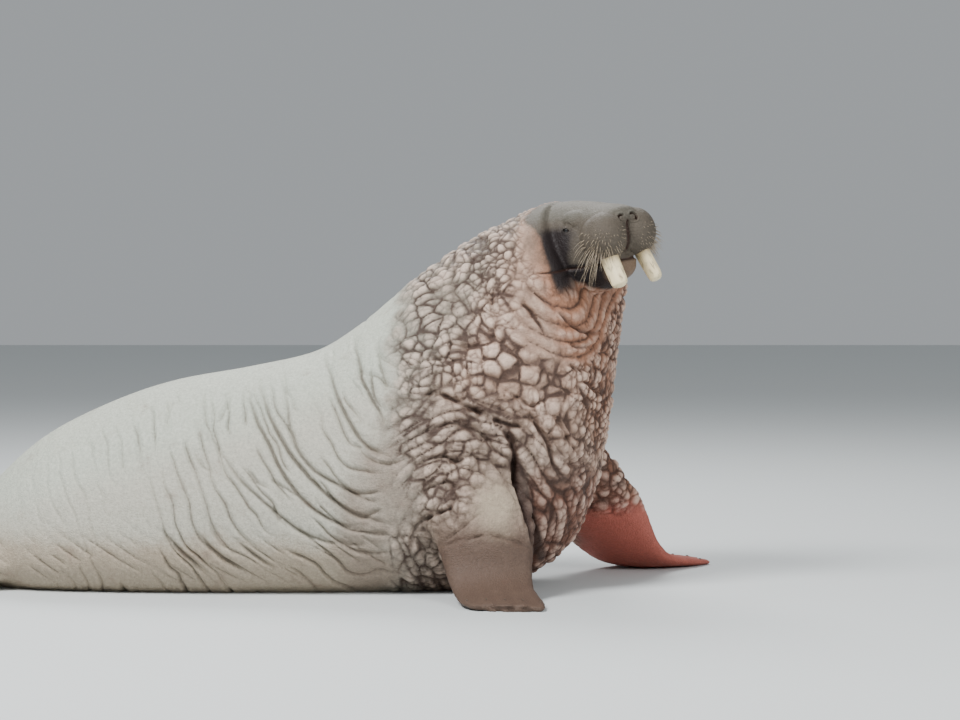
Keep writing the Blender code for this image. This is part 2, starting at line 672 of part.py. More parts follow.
def thinned(flesh, region, target):
    """The skin with the faces of one region collapsed to about a target number of triangles."""
    mesh = flesh.data
    corners = np.empty(len(mesh.polygons), np.int32)
    mesh.polygons.foreach_get("loop_total", corners)
    starts = np.empty(len(mesh.polygons), np.int32)
    mesh.polygons.foreach_get("loop_start", starts)
    verts = np.empty(len(mesh.loops), np.int32)
    mesh.loops.foreach_get("vertex_index", verts)
    inside = np.minimum.reduceat(region[verts].astype(int), starts) == 1
    whole = int((corners - 2).sum())
    part = int((corners[inside] - 2).sum())
    group = flesh.vertex_groups.new(name="thin")
    group.add(np.flatnonzero(region).tolist(), 1.0, "REPLACE")
    ratio = (whole - part + target) / whole
    modified(flesh, "DECIMATE", ratio=ratio, vertex_group=group.name, use_collapse_triangulate=True)
    flesh.vertex_groups.clear()
    return flesh


def head_share(points):
    """How far above the head's cutting plane each point lies."""
    own = own_frame(points)
    return own[:, 0] * HEAD_CUT[0] + own[:, 2] * HEAD_CUT[1] - HEAD_CUT[2]


def coarsened(flesh):
    """The skin with fewer faces where it is plain: fewest on the rear, most on the head."""
    for region, faces in (("head", HEAD_FACES), ("front", FRONT_FACES), ("rear", REAR_FACES)):
        points = vectors(flesh.data)
        head = (head_share(points) > -0.02) & (points[:, 2] > 1.0)
        front = points[:, 0] > -0.55
        masks = {"head": head, "front": front & ~head, "rear": ~front & ~head}
        thinned(flesh, masks[region], faces)
    points = vectors(flesh.data)
    points[:, 2] = np.where(points[:, 2] < FLAT, 0, points[:, 2])
    flesh.data.vertices.foreach_set("co", points.astype(np.float32).ravel())
    flesh.data.update()
    return flesh


def slab(name, centre, way, across, wide, long):
    """A cutter: a plate as thick as the gap, square to way, wide along across."""
    way = Vector(way).normalized()
    across = (Vector(across) - way * way.dot(Vector(across))).normalized()
    turn = Matrix((across, way.cross(across), way)).transposed().to_4x4()
    bm = bmesh.new()
    bmesh.ops.create_cube(bm, size=1)
    place = Matrix.Translation(centre) @ turn @ Matrix.Diagonal((wide, long, GAP, 1))
    bmesh.ops.transform(bm, matrix=place, verts=bm.verts)
    return mesh_object(name, bm)


def cutters():
    """One plate for each joint between the parts."""
    way = head_matrix().to_3x3() @ Vector((HEAD_CUT[0], 0, HEAD_CUT[1]))
    side = head_matrix().to_3x3() @ Vector((0, 1, 0))
    return [
        slab("cut_head", head_place(*HEAD_CUT_AT), way, side, 0.84, 0.80),
        slab("cut_neck", (0.12, 0, 1.12), (0.51, 0, 0.86), (0, 1, 0), 1.2, 1.3),
        slab("cut_chest", (-0.62, 0, 0.47), (0.985, 0, 0.155), (0, 1, 0), 1.3, 1.4),
        slab("cut_belly", (-1.46, 0, 0.40), (1, 0, 0.05), (0, 1, 0), 1.3, 1.3),
        slab("cut_fore_right", (-0.07, -0.50, 0.27), (-0.1, 0.80, 0.58), (1, 0, 0), 0.60, 0.36),
        slab("cut_fore_left", (0.395, 0.395, 0.262), (-0.54, -0.40, 0.74), (1, 0, 0), 0.54, 0.40),
        slab("cut_hind_right", (-2.15, -0.257, 0.055), (0.9, 0.41, 0.2), (0, 1, 0), 0.26, 0.2),
        slab("cut_hind_left", (-2.15, 0.257, 0.055), (0.9, -0.41, 0.2), (0, 1, 0), 0.26, 0.2),
        slab("cut_tail", (-2.14, 0.0, 0.09), (0.9, 0, 0.5), (0, 1, 0), 0.18, 0.26),
    ]


def shells(mesh):
    """The closed surfaces of a mesh, each as its own bmesh of triangles, largest first."""
    bm = bmesh.new()
    bm.from_mesh(mesh)
    bmesh.ops.triangulate(bm, faces=bm.faces)
    bm.faces.index_update()
    groups = []
    seen = set()
    for start in bm.faces:
        if start.index in seen:
            continue
        seen.add(start.index)
        group = {start.index}
        stack = [start]
        while stack:
            for edge in stack.pop().edges:
                for face in edge.link_faces if len(edge.link_faces) == 2 else ():
                    if face.index not in seen:
                        seen.add(face.index)
                        group.add(face.index)
                        stack.append(face)
        groups.append(group)
    found = []
    for kept in sorted(groups, key=len, reverse=True):
        piece = bm.copy()
        others = [face for face in piece.faces if face.index not in kept]
        bmesh.ops.delete(piece, geom=others, context="FACES")
        found.append(piece)
    bm.free()
    return found


def boolean(made, others, operation, solver="EXACT"):
    """The object cut by, or joined with, other objects, which are then removed."""
    group = bpy.data.collections.new("operands")
    bpy.context.scene.collection.children.link(group)
    for other in others:
        bpy.context.scene.collection.objects.unlink(other)
        group.objects.link(other)
    modified(
        made, "BOOLEAN", operation=operation, operand_type="COLLECTION", collection=group, solver=solver
    )
    for other in others:
        bpy.data.objects.remove(other)
    bpy.data.collections.remove(group)
    return made


def largest(made):
    """The object with only its largest closed surface."""
    found = shells(made.data)
    mesh = bpy.data.meshes.new(made.name)
    found[0].to_mesh(mesh)
    for piece in found:
        piece.free()
    made.data = mesh
    return made


def parted(flesh):
    """The flesh cut into its named parts, each found by a place inside it."""
    boolean(flesh, cutters(), "DIFFERENCE")
    pieces = {}
    for shell in shells(flesh.data)[: len(PARTS)]:
        middle = sum((v.co for v in shell.verts), Vector()) / len(shell.verts)
        name = min(PARTS, key=lambda part: (Vector(PARTS[part]) - middle).length)
        pieces[name] = mesh_object(name, shell)
    bpy.data.objects.remove(flesh)
    return pieces


def tusk_matrix(side):
    """A tusk's own frame in the head's: its length runs down from its root."""
    splay = Matrix.Rotation(math.radians(side * TUSK_SPLAY), 4, "X")
    swing = Matrix.Rotation(math.radians(-TUSK_FORWARD), 4, "Y")
    toe = Matrix.Rotation(math.radians(-side * TUSK_TOE), 4, "Z")
    place = Matrix.Translation((TUSK_BASE[0], side * TUSK_BASE[1], TUSK_BASE[2]))
    return place @ swing @ splay @ toe


def tusk(name, side, grow):
    """A worn tusk from inside the whisker pad, oval in section, grown by an amount all round."""
    place = head_matrix() @ tusk_matrix(side)
    rings = []
    for along, size in TUSK_FORM:
        down = -along * TUSK_LENGTH - grow * (1 if along > 0.5 else -1)
        bow = TUSK_BOW * along * along
        ring = []
        for i in range(TUSK_SIDES):
            angle = math.tau * i / TUSK_SIDES
            wide = math.cos(angle) * (TUSK_WIDE * size + grow) + bow
            thin = math.sin(angle) * (TUSK_THIN * size + grow)
            ring.append(place @ Vector((wide, thin, down)))
        rings.append(ring)
    return loft(name, rings)


def eye(name, side, grow):
    centre = head_matrix() @ Matrix.Translation((EYE_AT[0], side * EYE_AT[1], EYE_AT[2]))
    return ball(name, centre @ Matrix.Diagonal((EYE_RADIUS + grow,) * 3 + (1,)), 14, 9)


def spike(name, points, wide, sides):
    """A closed, tapered hair or nail along a few points, from its root to its tip."""
    bm = bmesh.new()
    rings = []
    count = len(points) - 1
    across = (points[1] - points[0]).orthogonal()
    for i, point in enumerate(points[:-1]):
        way = (points[i + 1] - points[max(i - 1, 0)]).normalized()
        across = (across - way * way.dot(across)).normalized()
        size = wide * (1 - 0.75 * i / count)
        ring = []
        for k in range(sides):
            turn = Matrix.Rotation(math.tau * k / sides, 3, way)
            ring.append(bm.verts.new(point + turn @ across * size))
        rings.append(ring)
    tip = bm.verts.new(points[-1])
    for back, front in zip(rings, rings[1:]):
        for k in range(sides):
            bm.faces.new((back[k], back[(k + 1) % sides], front[(k + 1) % sides], front[k]))
    for k in range(sides):
        bm.faces.new((rings[-1][k], rings[-1][(k + 1) % sides], tip))
    bm.faces.new(rings[0][::-1])
    bmesh.ops.recalc_face_normals(bm, faces=bm.faces)
    return mesh_object(name, bm)


def sunk(tree, point, depth):
    """Whether a point lies inside a surface, and at least this deep."""
    close, normal, _, apart = tree.find_nearest(point)
    return (point - close).dot(normal) < 0 and apart > depth


def clear_of_tusks(points):
    """Whether a whisker, given in the head's frame, keeps clear of both tusks."""
    for side in (1, -1):
        inverse = tusk_matrix(side).inverted()
        for start, end in zip(points, points[1:]):
            for step in range(6):
                place = inverse @ start.lerp(end, step / 5)
                across = math.hypot(place.x / (TUSK_WIDE + 0.004), place.y / (TUSK_THIN + 0.004))
                if across < 1:
                    return False
    return True


def whiskers(head):
    """Bristles set in rows over both pads, rooted in the head's own surface."""
    tree = BVHTree.FromObject(head, bpy.context.evaluated_depsgraph_get())
    rng = random.Random(SEED)
    frame = head_matrix()
    back = frame.inverted()
    made = []
    for side, row, step in product((1, -1), range(WHISKER_ROWS), range(WHISKER_STEPS)):
        pad = Vector((PAD_AT[0], side * PAD_AT[1], PAD_AT[2]))
        low = row / (WHISKER_ROWS - 1)
        turn = -22 + 128 * (step + 0.5 * (row % 2)) / (WHISKER_STEPS - 0.5) + rng.uniform(-4, 4)
        tilt = 22 - 80 * low + rng.uniform(-3, 3)
        long = WHISKER_LENGTH * (0.3 + 0.8 * low * step / WHISKER_STEPS) * rng.uniform(0.8, 1.15)
        turn, tilt = math.radians(turn), math.radians(tilt)
        level = Vector((math.cos(turn), side * math.sin(turn), 0)) * math.cos(tilt)
        out = level + Vector((0, 0, math.sin(tilt)))
        way = -(frame.to_3x3() @ out)
        hit = tree.ray_cast(frame @ (pad + out * 0.3), way, 0.3)[0]
        if hit is None or not sunk(tree, hit + way * WHISKER_ROOT, 0.6 * WHISKER_ROOT):
            continue
        droop = Vector((0.05, side * 0.25, -1)).lerp(out, 0.55 - 0.30 * low).normalized()
        points = [back @ hit - out * WHISKER_ROOT]
        points.append(points[0] + out * (WHISKER_ROOT + 0.35 * long))
        points.append(points[1] + (droop + out * 0.25).normalized() * 0.65 * long)
        if clear_of_tusks(points):
            made.append(spike("whisker", [frame @ p for p in points], WHISKER_WIDE, 3))
    return made


def nails(flipper, rows, side, tip_way, reach, first, last):
    """Small nails on the back of the hand, one above the end of each digit."""
    tree = BVHTree.FromObject(flipper, bpy.context.evaluated_depsgraph_get())
    path = spline(rows, 60)
    path[:, 1] *= side
    end = Vector(path[NAIL_PLACE, :3])
    way = (Vector(path[NAIL_PLACE + 1, :3]) - end).normalized()
    across = (Vector(tip_way) - way * way.dot(Vector(tip_way))).normalized()
    made = []
    for digit in range(first, last):
        aside = 0.84 * (2 * digit / (DIGITS - 1) - 1)
        above = end + across * aside * path[NAIL_PLACE, 3] + way * float(reach(np.array(aside)))
        hit = tree.ray_cast(above + Vector((0, 0, 0.2)), Vector((0, 0, -1)), 0.4)[0]
        if hit is None:
            continue
        root = hit - Vector((0, 0, NAIL_WIDE)) - way * 0.5 * NAIL_LENGTH
        tip = hit + Vector((0, 0, 0.3 * NAIL_WIDE)) + way * 0.5 * NAIL_LENGTH
        middle = hit + Vector((0, 0, 0.25 * NAIL_WIDE))
        made.append(spike("nail", [root, middle, tip], NAIL_WIDE, 5))
    return made


def material(name, colour, roughness):
    made = bpy.data.materials.new(name)
    made.use_nodes = True
    shader = made.node_tree.nodes["Principled BSDF"]
    shader.inputs["Base Color"].default_value = (*colour, 1)
    shader.inputs["Roughness"].default_value = roughness
    shader.inputs["Metallic"].default_value = 0
    return made


def dressed(pieces):
    """Each part in the walrus's own collection, with a material of its own."""
    group = bpy.data.collections.new("walrus")
    bpy.context.scene.collection.children.link(group)
    for name, made in pieces.items():
        made.name = name
        made.data.name = name
        made.data.materials.clear()
        made.data.materials.append(material(name, *next(FINISH[k] for k in FINISH if k in name)))
        made.data.transform(Matrix.Translation(-Vector(ORIGIN)))
        bpy.context.scene.collection.objects.unlink(made)
        group.objects.link(made)
    return group


def main():
    for old in list(bpy.data.objects):
        bpy.data.objects.remove(old)
    flesh = coarsened(wrinkled(refined(fused(flesh_forms()))))
    pieces = parted(flesh)
    head = pieces["head"]
    sides = (("left", 1), ("right", -1))
    hollows = [eye("hollow", side, GAP) for _, side in sides]
    hollows += [tusk("hollow", side, GAP) for _, side in sides]
    boolean(head, hollows, "DIFFERENCE", "MANIFOLD")
    largest(head)
    boolean(head, whiskers(head), "UNION", "MANIFOLD")
    largest(head)
    for name, side in sides:
        pieces[f"eye_{name}"] = eye("eye", side, 0)
        pieces[f"tusk_{name}"] = tusk("tusk", side, 0)
        fore = pieces[f"fore_flipper_{name}"]
        rows, way = (FORE_LEFT, FORE_LEFT_WAY) if side > 0 else (FORE_RIGHT, FORE_RIGHT_WAY)
        boolean(fore, nails(fore, rows, side, way, fore_reach, 0, DIGITS), "UNION", "MANIFOLD")
        hind = pieces[f"hind_flipper_{name}"]
        boolean(hind, nails(hind, HIND, side, (0.4, side, 0), hind_reach, 1, 4), "UNION", "MANIFOLD")
        largest(fore)
        largest(hind)
    dressed(pieces)


if __name__ == "__main__":
    main()
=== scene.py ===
"""Looks of a life-size walrus model: one hide over all its flesh, with tusks, eyes, claws and
whiskers of their own.

Metres. Shapes are laid out in a working frame, +X from rump to head, +Z up and the animal's right
at -Y, and each finished mesh is moved to the frame of the solids, which starts at ORIGIN."""

import logging
import math
import random
from dataclasses import dataclass, field
from enum import Enum
from itertools import product

import bmesh
import bpy
import numpy as np
from mathutils import Matrix, Vector
from mathutils.bvhtree import BVHTree


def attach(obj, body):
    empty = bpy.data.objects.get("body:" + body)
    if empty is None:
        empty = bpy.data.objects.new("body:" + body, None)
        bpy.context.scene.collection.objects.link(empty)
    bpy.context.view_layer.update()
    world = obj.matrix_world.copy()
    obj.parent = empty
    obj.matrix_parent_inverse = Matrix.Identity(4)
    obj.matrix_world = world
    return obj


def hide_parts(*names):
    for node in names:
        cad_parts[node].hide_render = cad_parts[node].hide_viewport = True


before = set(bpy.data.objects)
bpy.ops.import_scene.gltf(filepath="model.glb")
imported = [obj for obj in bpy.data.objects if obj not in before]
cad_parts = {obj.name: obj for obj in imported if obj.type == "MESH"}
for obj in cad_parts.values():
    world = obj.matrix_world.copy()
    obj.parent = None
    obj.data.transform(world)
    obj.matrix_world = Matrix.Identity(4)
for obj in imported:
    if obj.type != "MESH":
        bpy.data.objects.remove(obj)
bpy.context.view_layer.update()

LOG = logging.getLogger("walrus")
ORIGIN = Vector((-0.83, -0.05, 0.0))
SEED = 11

Array = np.ndarray
Row = tuple[float, ...]
Socket = bpy.types.NodeSocket


# Shared shaping tools


def spline(rows: tuple[Row, ...] | Array, count: int) -> Array:
    """Rows of numbers on one smooth curve through the given rows.

    Args:
        rows: the rows that the curve passes through.
        count: how many rows to return.

    Returns:
        An array of count rows.
    """
    rows = np.asarray(rows, float)
    place = np.linspace(0, len(rows) - 1, count)
    i = np.clip(place.astype(int), 0, len(rows) - 2)
    f = (place - i)[:, None]
    padded = np.vstack([2 * rows[0] - rows[1], rows, 2 * rows[-1] - rows[-2]])
    a, b, c, d = (padded[i + k] for k in range(4))
    return 0.5 * (
        2 * b + (c - a) * f + (2 * a - 5 * b + 4 * c - d) * f**2 + (3 * b - 3 * c + d - a) * f**3
    )


def ramp(value: Array | float, low: float | Array, high: float | Array) -> Array:
    """A smooth step.

    Args:
        value: what is measured.
        low: where the step starts, with 0 below it.
        high: where it ends, with 1 above it.

    Returns:
        Values between 0 and 1.
    """
    share = np.clip((value - low) / (high - low), 0, 1)
    return share * share * (3 - 2 * share)


def bell(value: Array, width: float | Array) -> Array:
    """1 where value is 0, fading on both sides over about width."""
    return np.exp(-((value / width) ** 2))


def between(value: Array, low: float, high: float, soft: float) -> Array:
    """1 between low and high, fading to 0 over soft on both sides."""
    return ramp(value, low - soft, low) * (1 - ramp(value, high, high + soft))


def outline(fullness: float, sag: float, around: int) -> tuple[Array, Array]:
    """A unit section of a body.

    Args:
        fullness: 2 for an ellipse, more for a squarer section.
        sag: how far its widest place lies below its middle.
        around: how many points it has.

    Returns:
        How far aside and how far up each point lies.
    """
    angle = np.linspace(0, 2 * math.pi, around, endpoint=False)
    aside = np.sign(np.sin(angle)) * np.abs(np.sin(angle)) ** (2 / fullness)
    up = np.sign(np.cos(angle)) * np.abs(np.cos(angle)) ** (2 / fullness)
    return aside, up - sag * (1 - up**2)


def mesh_object(name: str, bm: bmesh.types.BMesh) -> bpy.types.Object:
    """An object in the scene with the mesh of bm, which is freed."""
    mesh = bpy.data.meshes.new(name)
    bm.to_mesh(mesh)
    bm.free()
    made = bpy.data.objects.new(name, mesh)
    bpy.context.scene.collection.objects.link(made)
    return made


def loft(name: str, rings: Array | list) -> bpy.types.Object:
    """A closed skin over rings of points.

    Args:
        name: the object's name.
        rings: the rings, each with the same number of points.

    Returns:
        The object, with each end closed by one face.
    """
    bm = bmesh.new()
    verts = [[bm.verts.new(point) for point in ring] for ring in rings]
    for back, front in zip(verts, verts[1:]):
        for i in range(len(back)):
            j = (i + 1) % len(back)
            bm.faces.new((back[i], back[j], front[j], front[i]))
    bm.faces.new(verts[0][::-1])
    bm.faces.new(verts[-1])
    bmesh.ops.recalc_face_normals(bm, faces=bm.faces)
    return mesh_object(name, bm)


def modified(made: bpy.types.Object, kind: str, **settings: object) -> bpy.types.Object:
    """The object with one modifier applied to its mesh.

    Args:
        made: the object.
        kind: Blender's name for the modifier's type.
        settings: the modifier's settings.

    Returns:
        The same object.
    """
    modifier = made.modifiers.new(kind.lower(), kind)
    for name, value in settings.items():
        setattr(modifier, name, value)
    graph = bpy.context.evaluated_depsgraph_get()
    mesh = bpy.data.meshes.new_from_object(made.evaluated_get(graph))
    made.modifiers.remove(modifier)
    made.data = mesh
    return made


def vectors(mesh: bpy.types.Mesh, what: str = "co") -> Array:
    """The mesh's vertex places, or normals, as an array of rows."""
    flat = np.empty(len(mesh.vertices) * 3, np.float32)
    mesh.vertices.foreach_get(what, flat)
    return flat.reshape(-1, 3).astype(float)


def put(mesh: bpy.types.Mesh, points: Array) -> None:
    """Moves the mesh's vertices to points."""
    mesh.vertices.foreach_set("co", points.astype(np.float32).ravel())
    mesh.update()


def side_name(side: int) -> str:
    """The animal's left for 1, and its right for -1."""
    return "left" if side > 0 else "right"


def smooth_shaded(made: bpy.types.Object) -> None:
    """Shades all faces of a piece smooth."""
    made.data.polygons.foreach_set("use_smooth", np.ones(len(made.data.polygons), bool))


def folded(own: Array) -> Array:
    """Places of the head's frame, with its right half laid over its left."""
    return own * (1, 0, 1) + np.abs(own) * (0, 1, 0)


def relax(points: Array, mesh: bpy.types.Mesh, weight: Array, rounds: int) -> Array:
    """Points drawn towards the mean of their neighbours.

    Args:
        points: the vertices' places.
        mesh: the mesh that says which are neighbours.
        weight: how strongly each point is drawn, from 0 to 1.
        rounds: how many times.

    Returns:
        The new places.
    """
    ends = np.empty(len(mesh.edges) * 2, np.int32)
    mesh.edges.foreach_get("vertices", ends)
    one, two = ends.reshape(-1, 2).T
    count = np.bincount(ends, minlength=len(points))
    for _ in range(rounds):
        mean = np.empty_like(points)
        for axis in range(3):
            total = np.bincount(one, points[two, axis], len(points))
            total += np.bincount(two, points[one, axis], len(points))
            mean[:, axis] = total / count
        points = points + (mean - points) * weight[:, None]
    return points


def nearest(flat: Array, route: Array) -> tuple[Array, Array, Array]:
    """How places on a plane lie to the nearest place on a line of points.

    Args:
        flat: the places, in rows of two.
        route: the line's points, in rows of two.

    Returns:
        The distance, how far along the line it is taken, from 0 to 1, and how far above the line
        each place is.
    """
    best = np.full(len(flat), 9.0)
    along, above = np.zeros(len(flat)), np.zeros(len(flat))
    for i, (start, end) in enumerate(zip(route, route[1:])):
        way = end - start
        share = np.clip((flat - start) @ way / (way @ way), 0, 1)
        apart = flat - start - np.outer(share, way)
        length = np.linalg.norm(apart, axis=1)
        along = np.where(length < best, (i + share) / (len(route) - 1), along)
        above = np.where(length < best, apart[:, 1], above)
        best = np.minimum(best, length)
    return best, along, above


def linear(code: str) -> tuple[float, float, float, float]:
    """An sRGB colour such as "#c2aea1" as the linear colour that shaders take."""
    parts = [int(code[i : i + 2], 16) / 255 for i in (1, 3, 5)]
    return (*(c / 12.92 if c <= 0.04045 else ((c + 0.055) / 1.055) ** 2.4 for c in parts), 1.0)


def add_node(
    tree: bpy.types.NodeTree,
    kind: str,
    inputs: dict[str | int, object] | None = None,
    **settings: object,
) -> bpy.types.Node:
    """Adds a node with its settings and links.

    Args:
        tree: the tree to add it to.
        kind: Blender's name for the node's type.
        inputs: a value or another node's output for each named or numbered input.
        settings: the node's own settings.

    Returns:
        The node.
    """
    made = tree.nodes.new(kind)
    for name, value in settings.items():
        setattr(made, name, value)
    for key, value in (inputs or {}).items():
        if isinstance(value, Socket):
            tree.links.new(value, made.inputs[key])
        else:
            made.inputs[key].default_value = value
    return made


def new_material(
    name: str, surface: dict[str, float]
) -> tuple[bpy.types.Material, bpy.types.NodeTree, Socket]:
    """A material with values on its shader.

    Args:
        name: the real stuff that it stands for.
        surface: a value for each named input of the shader.

    Returns:
        The material, its node tree, and the place on the piece to grow a pattern on.
    """
    made = bpy.data.materials.new(name)
    made.use_nodes = True
    tree = made.node_tree
    for key, value in surface.items():
        tree.nodes["Principled BSDF"].inputs[key].default_value = value
    return made, tree, add_node(tree, "ShaderNodeTexCoord").outputs["Object"]


def link_surface(tree: bpy.types.NodeTree, links: dict[str, Socket]) -> None:
    """Links outputs into the shader's named inputs."""
    for key, value in links.items():
        tree.links.new(value, tree.nodes["Principled BSDF"].inputs[key])


class Noise:
    """Smooth noise and cell noise in space, the same at each run."""

    SIZE = 64

    def __init__(self, seed: int) -> None:
        """Fills the tables from a fixed seed."""
        rng = np.random.default_rng(seed)
        self.level = rng.uniform(-1, 1, (self.SIZE,) * 3)
        self.jitter = rng.uniform(0.1, 0.9, (self.SIZE,) * 3 + (3,))

    def smooth(self, points: Array, size: float) -> Array:
        """Value noise.

        Args:
            points: where to read it.
            size: about how wide its lumps are.

        Returns:
            Values between -1 and 1.
        """
        place = points / size
        base = np.floor(place).astype(int)
        share = place - base
        share = share * share * (3 - 2 * share)
        total = np.zeros(len(points))
        for corner in product((0, 1), repeat=3):
            i, j, k = ((base + corner) % self.SIZE).T
            weight = np.prod(np.where(corner, share, 1 - share), axis=1)
            total += weight * self.level[i, j, k]
        return total

    def cells(self, points: Array, size: float) -> tuple[Array, Array]:
        """Cell noise.

        Args:
            points: where to read it.
            size: how far apart the cells' centres lie.

        Returns:
            The distances to the nearest and the second nearest centre, in cells.
        """
        place = points / size
        base = np.floor(place).astype(int)
        first = np.full(len(points), 9.0)
        second = first.copy()
        for step in product((-1, 0, 1), repeat=3):
            cell = base + step
            i, j, k = (cell % self.SIZE).T
            apart = np.linalg.norm(cell + self.jitter[i, j, k] - place, axis=1)
            second = np.minimum(second, np.maximum(first, apart))
            first = np.minimum(first, apart)
        return first, second

    def pillows(self, points: Array, size: float, crease: float) -> tuple[Array, Array]:
        """Rounded lumps parted by narrow creases.

        Args:
            points: where to read them.
            size: how wide a lump is.
            crease: how wide a crease is, in lumps.

        Returns:
            The height, from 0 in the creases to about 1, and how near a crease each point is.
        """
        first, second = self.cells(points, size)
        edge = second - first
        rise = np.clip(edge / 0.5, 0, 1)
        dome = 0.55 * np.sqrt(1 - (1 - rise) ** 2) + 0.55 * np.clip(1 - (first / 0.8) ** 2, 0, 1)
        return dome, np.exp(-((edge / crease) ** 1.3))


# The forms of the flesh


@dataclass(frozen=True)
class HeadFrame:
    """The head's own frame, forward, to its left and up from the back of its crown.

    cut holds the forward and upward parts of the normal of the plane between neck and head, and
    how far that plane lies along it. Turn and roll are in degrees."""

    at: Row = (0.242, -0.02, 1.535)
    turn: float = 49.0
    roll: float = 7.0
    cut: Row = (0.757, 0.654, -0.038)

    def matrix(self) -> Matrix:
        """The head's frame in the working frame."""
        turn = Matrix.Rotation(math.radians(-self.turn), 4, "Z")
        return Matrix.Translation(self.at) @ turn @ Matrix.Rotation(math.radians(self.roll), 4, "X")

    def own(self, points: Array) -> Array:
        """Points of the working frame in the head's frame."""
        inverse = np.array(self.matrix().inverted())
        return points @ inverse[:3, :3].T + inverse[:3, 3]

    def share(self, points: Array) -> Array:
        """How far above the plane between neck and head each point lies."""
        own = self.own(points)
        return own[:, 0] * self.cut[0] + own[:, 2] * self.cut[1] - self.cut[2]


@dataclass
class Trunk:
    """Rump, belly, chest and neck in one loft.

    Each section holds its back x and z, belly x and z, half width, fullness, sag and turn."""

    rings: int = 150
    around: int = 96
    sections: tuple[Row, ...] = (
        (-2.13, 0.21, -2.13, 0.08, 0.05, 2.0, 0.0, 0),
        (-2.09, 0.32, -2.10, 0.03, 0.14, 2.0, 0.1, 0),
        (-1.98, 0.46, -1.99, -0.01, 0.245, 2.0, 0.2, 0),
        (-1.80, 0.61, -1.80, -0.03, 0.34, 2.1, 0.26, 0),
        (-1.55, 0.735, -1.53, -0.04, 0.40, 2.1, 0.28, 0),
        (-1.30, 0.82, -1.24, -0.05, 0.435, 2.1, 0.28, 0),
        (-1.00, 0.875, -0.92, -0.05, 0.46, 2.1, 0.26, 0),
        (-0.74, 0.935, -0.62, -0.05, 0.475, 2.1, 0.22, 0),
        (-0.57, 1.035, -0.36, -0.04, 0.48, 2.15, 0.18, 0),
        (-0.42, 1.155, -0.10, -0.02, 0.475, 2.2, 0.15, 0),
        (-0.29, 1.255, 0.12, 0.05, 0.455, 2.2, 0.12, 0),
        (-0.17, 1.335, 0.28, 0.18, 0.43, 2.2, 0.10, 0),
        (-0.07, 1.395, 0.37, 0.38, 0.40, 2.2, 0.08, 0),
        (0.02, 1.44, 0.415, 0.60, 0.37, 2.2, 0.06, 3),
        (0.09, 1.48, 0.44, 0.80, 0.34, 2.2, 0.04, 7),
        (0.15, 1.507, 0.455, 0.97, 0.31, 2.2, 0.03, 13),
        (0.20, 1.525, 0.455, 1.11, 0.275, 2.2, 0.02, 22),
        (0.245, 1.53, 0.44, 1.20, 0.22, 2.2, 0.0, 32),
        (0.30, 1.49, 0.42, 1.26, 0.12, 2.0, 0.0, 40),
    )

    def build(self) -> list[bpy.types.Object]:
        """The trunk as one closed form."""
        rings = []
        for row in spline(self.sections, self.rings):
            back, belly = np.array((row[0], 0, row[1])), np.array((row[2], 0, row[3]))
            turn = math.radians(row[7])
            left = np.array((math.sin(turn), math.cos(turn), 0))
            aside, up = outline(row[5], row[6], self.around)
            ring = (back + belly) / 2 + np.outer(up, (back - belly) / 2)
            rings.append(ring + np.outer(aside, row[4] * left))
        return [loft("trunk", np.array(rings))]


@dataclass
class HeadForms:
    """Cranium, jaw, whisker pads, cheeks and brows, as overlapping closed forms.

    Sections hold forward, top, bottom, half width, fullness and sag, and masses hold forward,
    aside, up and their radii."""

    place: HeadFrame = field(default_factory=HeadFrame)
    cranium: tuple[Row, ...] = (
        (-0.08, -0.06, -0.26, 0.10, 2.0, 0.0),
        (-0.03, -0.012, -0.32, 0.165, 2.2, 0.05),
        (0.05, 0.0, -0.34, 0.178, 2.2, 0.10),
        (0.12, 0.0, -0.32, 0.165, 2.2, 0.10),
        (0.19, -0.003, -0.28, 0.146, 2.2, 0.10),
        (0.25, -0.008, -0.245, 0.132, 2.3, 0.05),
        (0.31, -0.012, -0.215, 0.122, 2.4, 0.0),
        (0.355, -0.022, -0.195, 0.10, 2.4, 0.0),
        (0.378, -0.05, -0.16, 0.06, 2.0, 0.0),
    )
    jaw: tuple[Row, ...] = (
        (0.0, -0.16, -0.345, 0.11, 2.0, 0.0),
        (0.08, -0.16, -0.368, 0.135, 2.2, 0.0),
        (0.17, -0.17, -0.362, 0.122, 2.2, 0.0),
        (0.25, -0.18, -0.338, 0.095, 2.2, 0.0),
        (0.31, -0.195, -0.315, 0.074, 2.2, 0.0),
        (0.345, -0.205, -0.295, 0.058, 2.2, 0.0),
        (0.366, -0.225, -0.27, 0.03, 2.0, 0.0),
    )
    masses: tuple[Row, ...] = (
        (0.330, 0.080, -0.128, 0.082, 0.084, 0.096),
        (0.305, 0.102, -0.135, 0.070, 0.066, 0.085),
        (0.150, 0.105, -0.19, 0.115, 0.075, 0.13),
        (0.180, 0.095, -0.070, 0.060, 0.046, 0.046),
    )
    rings: int = 48
    around: int = 56

    def build(self) -> list[bpy.types.Object]:
        """The head's forms in the working frame."""
        forms = []
        for name, rows in (("cranium", self.cranium), ("jaw", self.jaw)):
            rings = []
            for forward, top, bottom, width, fullness, sag in spline(rows, self.rings):
                aside, up = outline(fullness, sag, self.around)
                height = (top + bottom) / 2 + up * (top - bottom) / 2
                ring = np.stack([np.full(self.around, forward), aside * width, height], axis=1)
                rings.append(ring)
            forms.append(loft(name, np.array(rings)))
        for side, (forward, aside, up, *radii) in product((1, -1), self.masses):
            bm = bmesh.new()
            bmesh.ops.create_uvsphere(bm, u_segments=36, v_segments=24, radius=1)
            place = Matrix.Translation((forward, side * aside, up)) @ Matrix.Diagonal((*radii, 1))
            bmesh.ops.transform(bm, matrix=place, verts=bm.verts)
            forms.append(mesh_object("mass", bm))
        for form in forms:
            form.data.transform(self.place.matrix())
        return forms


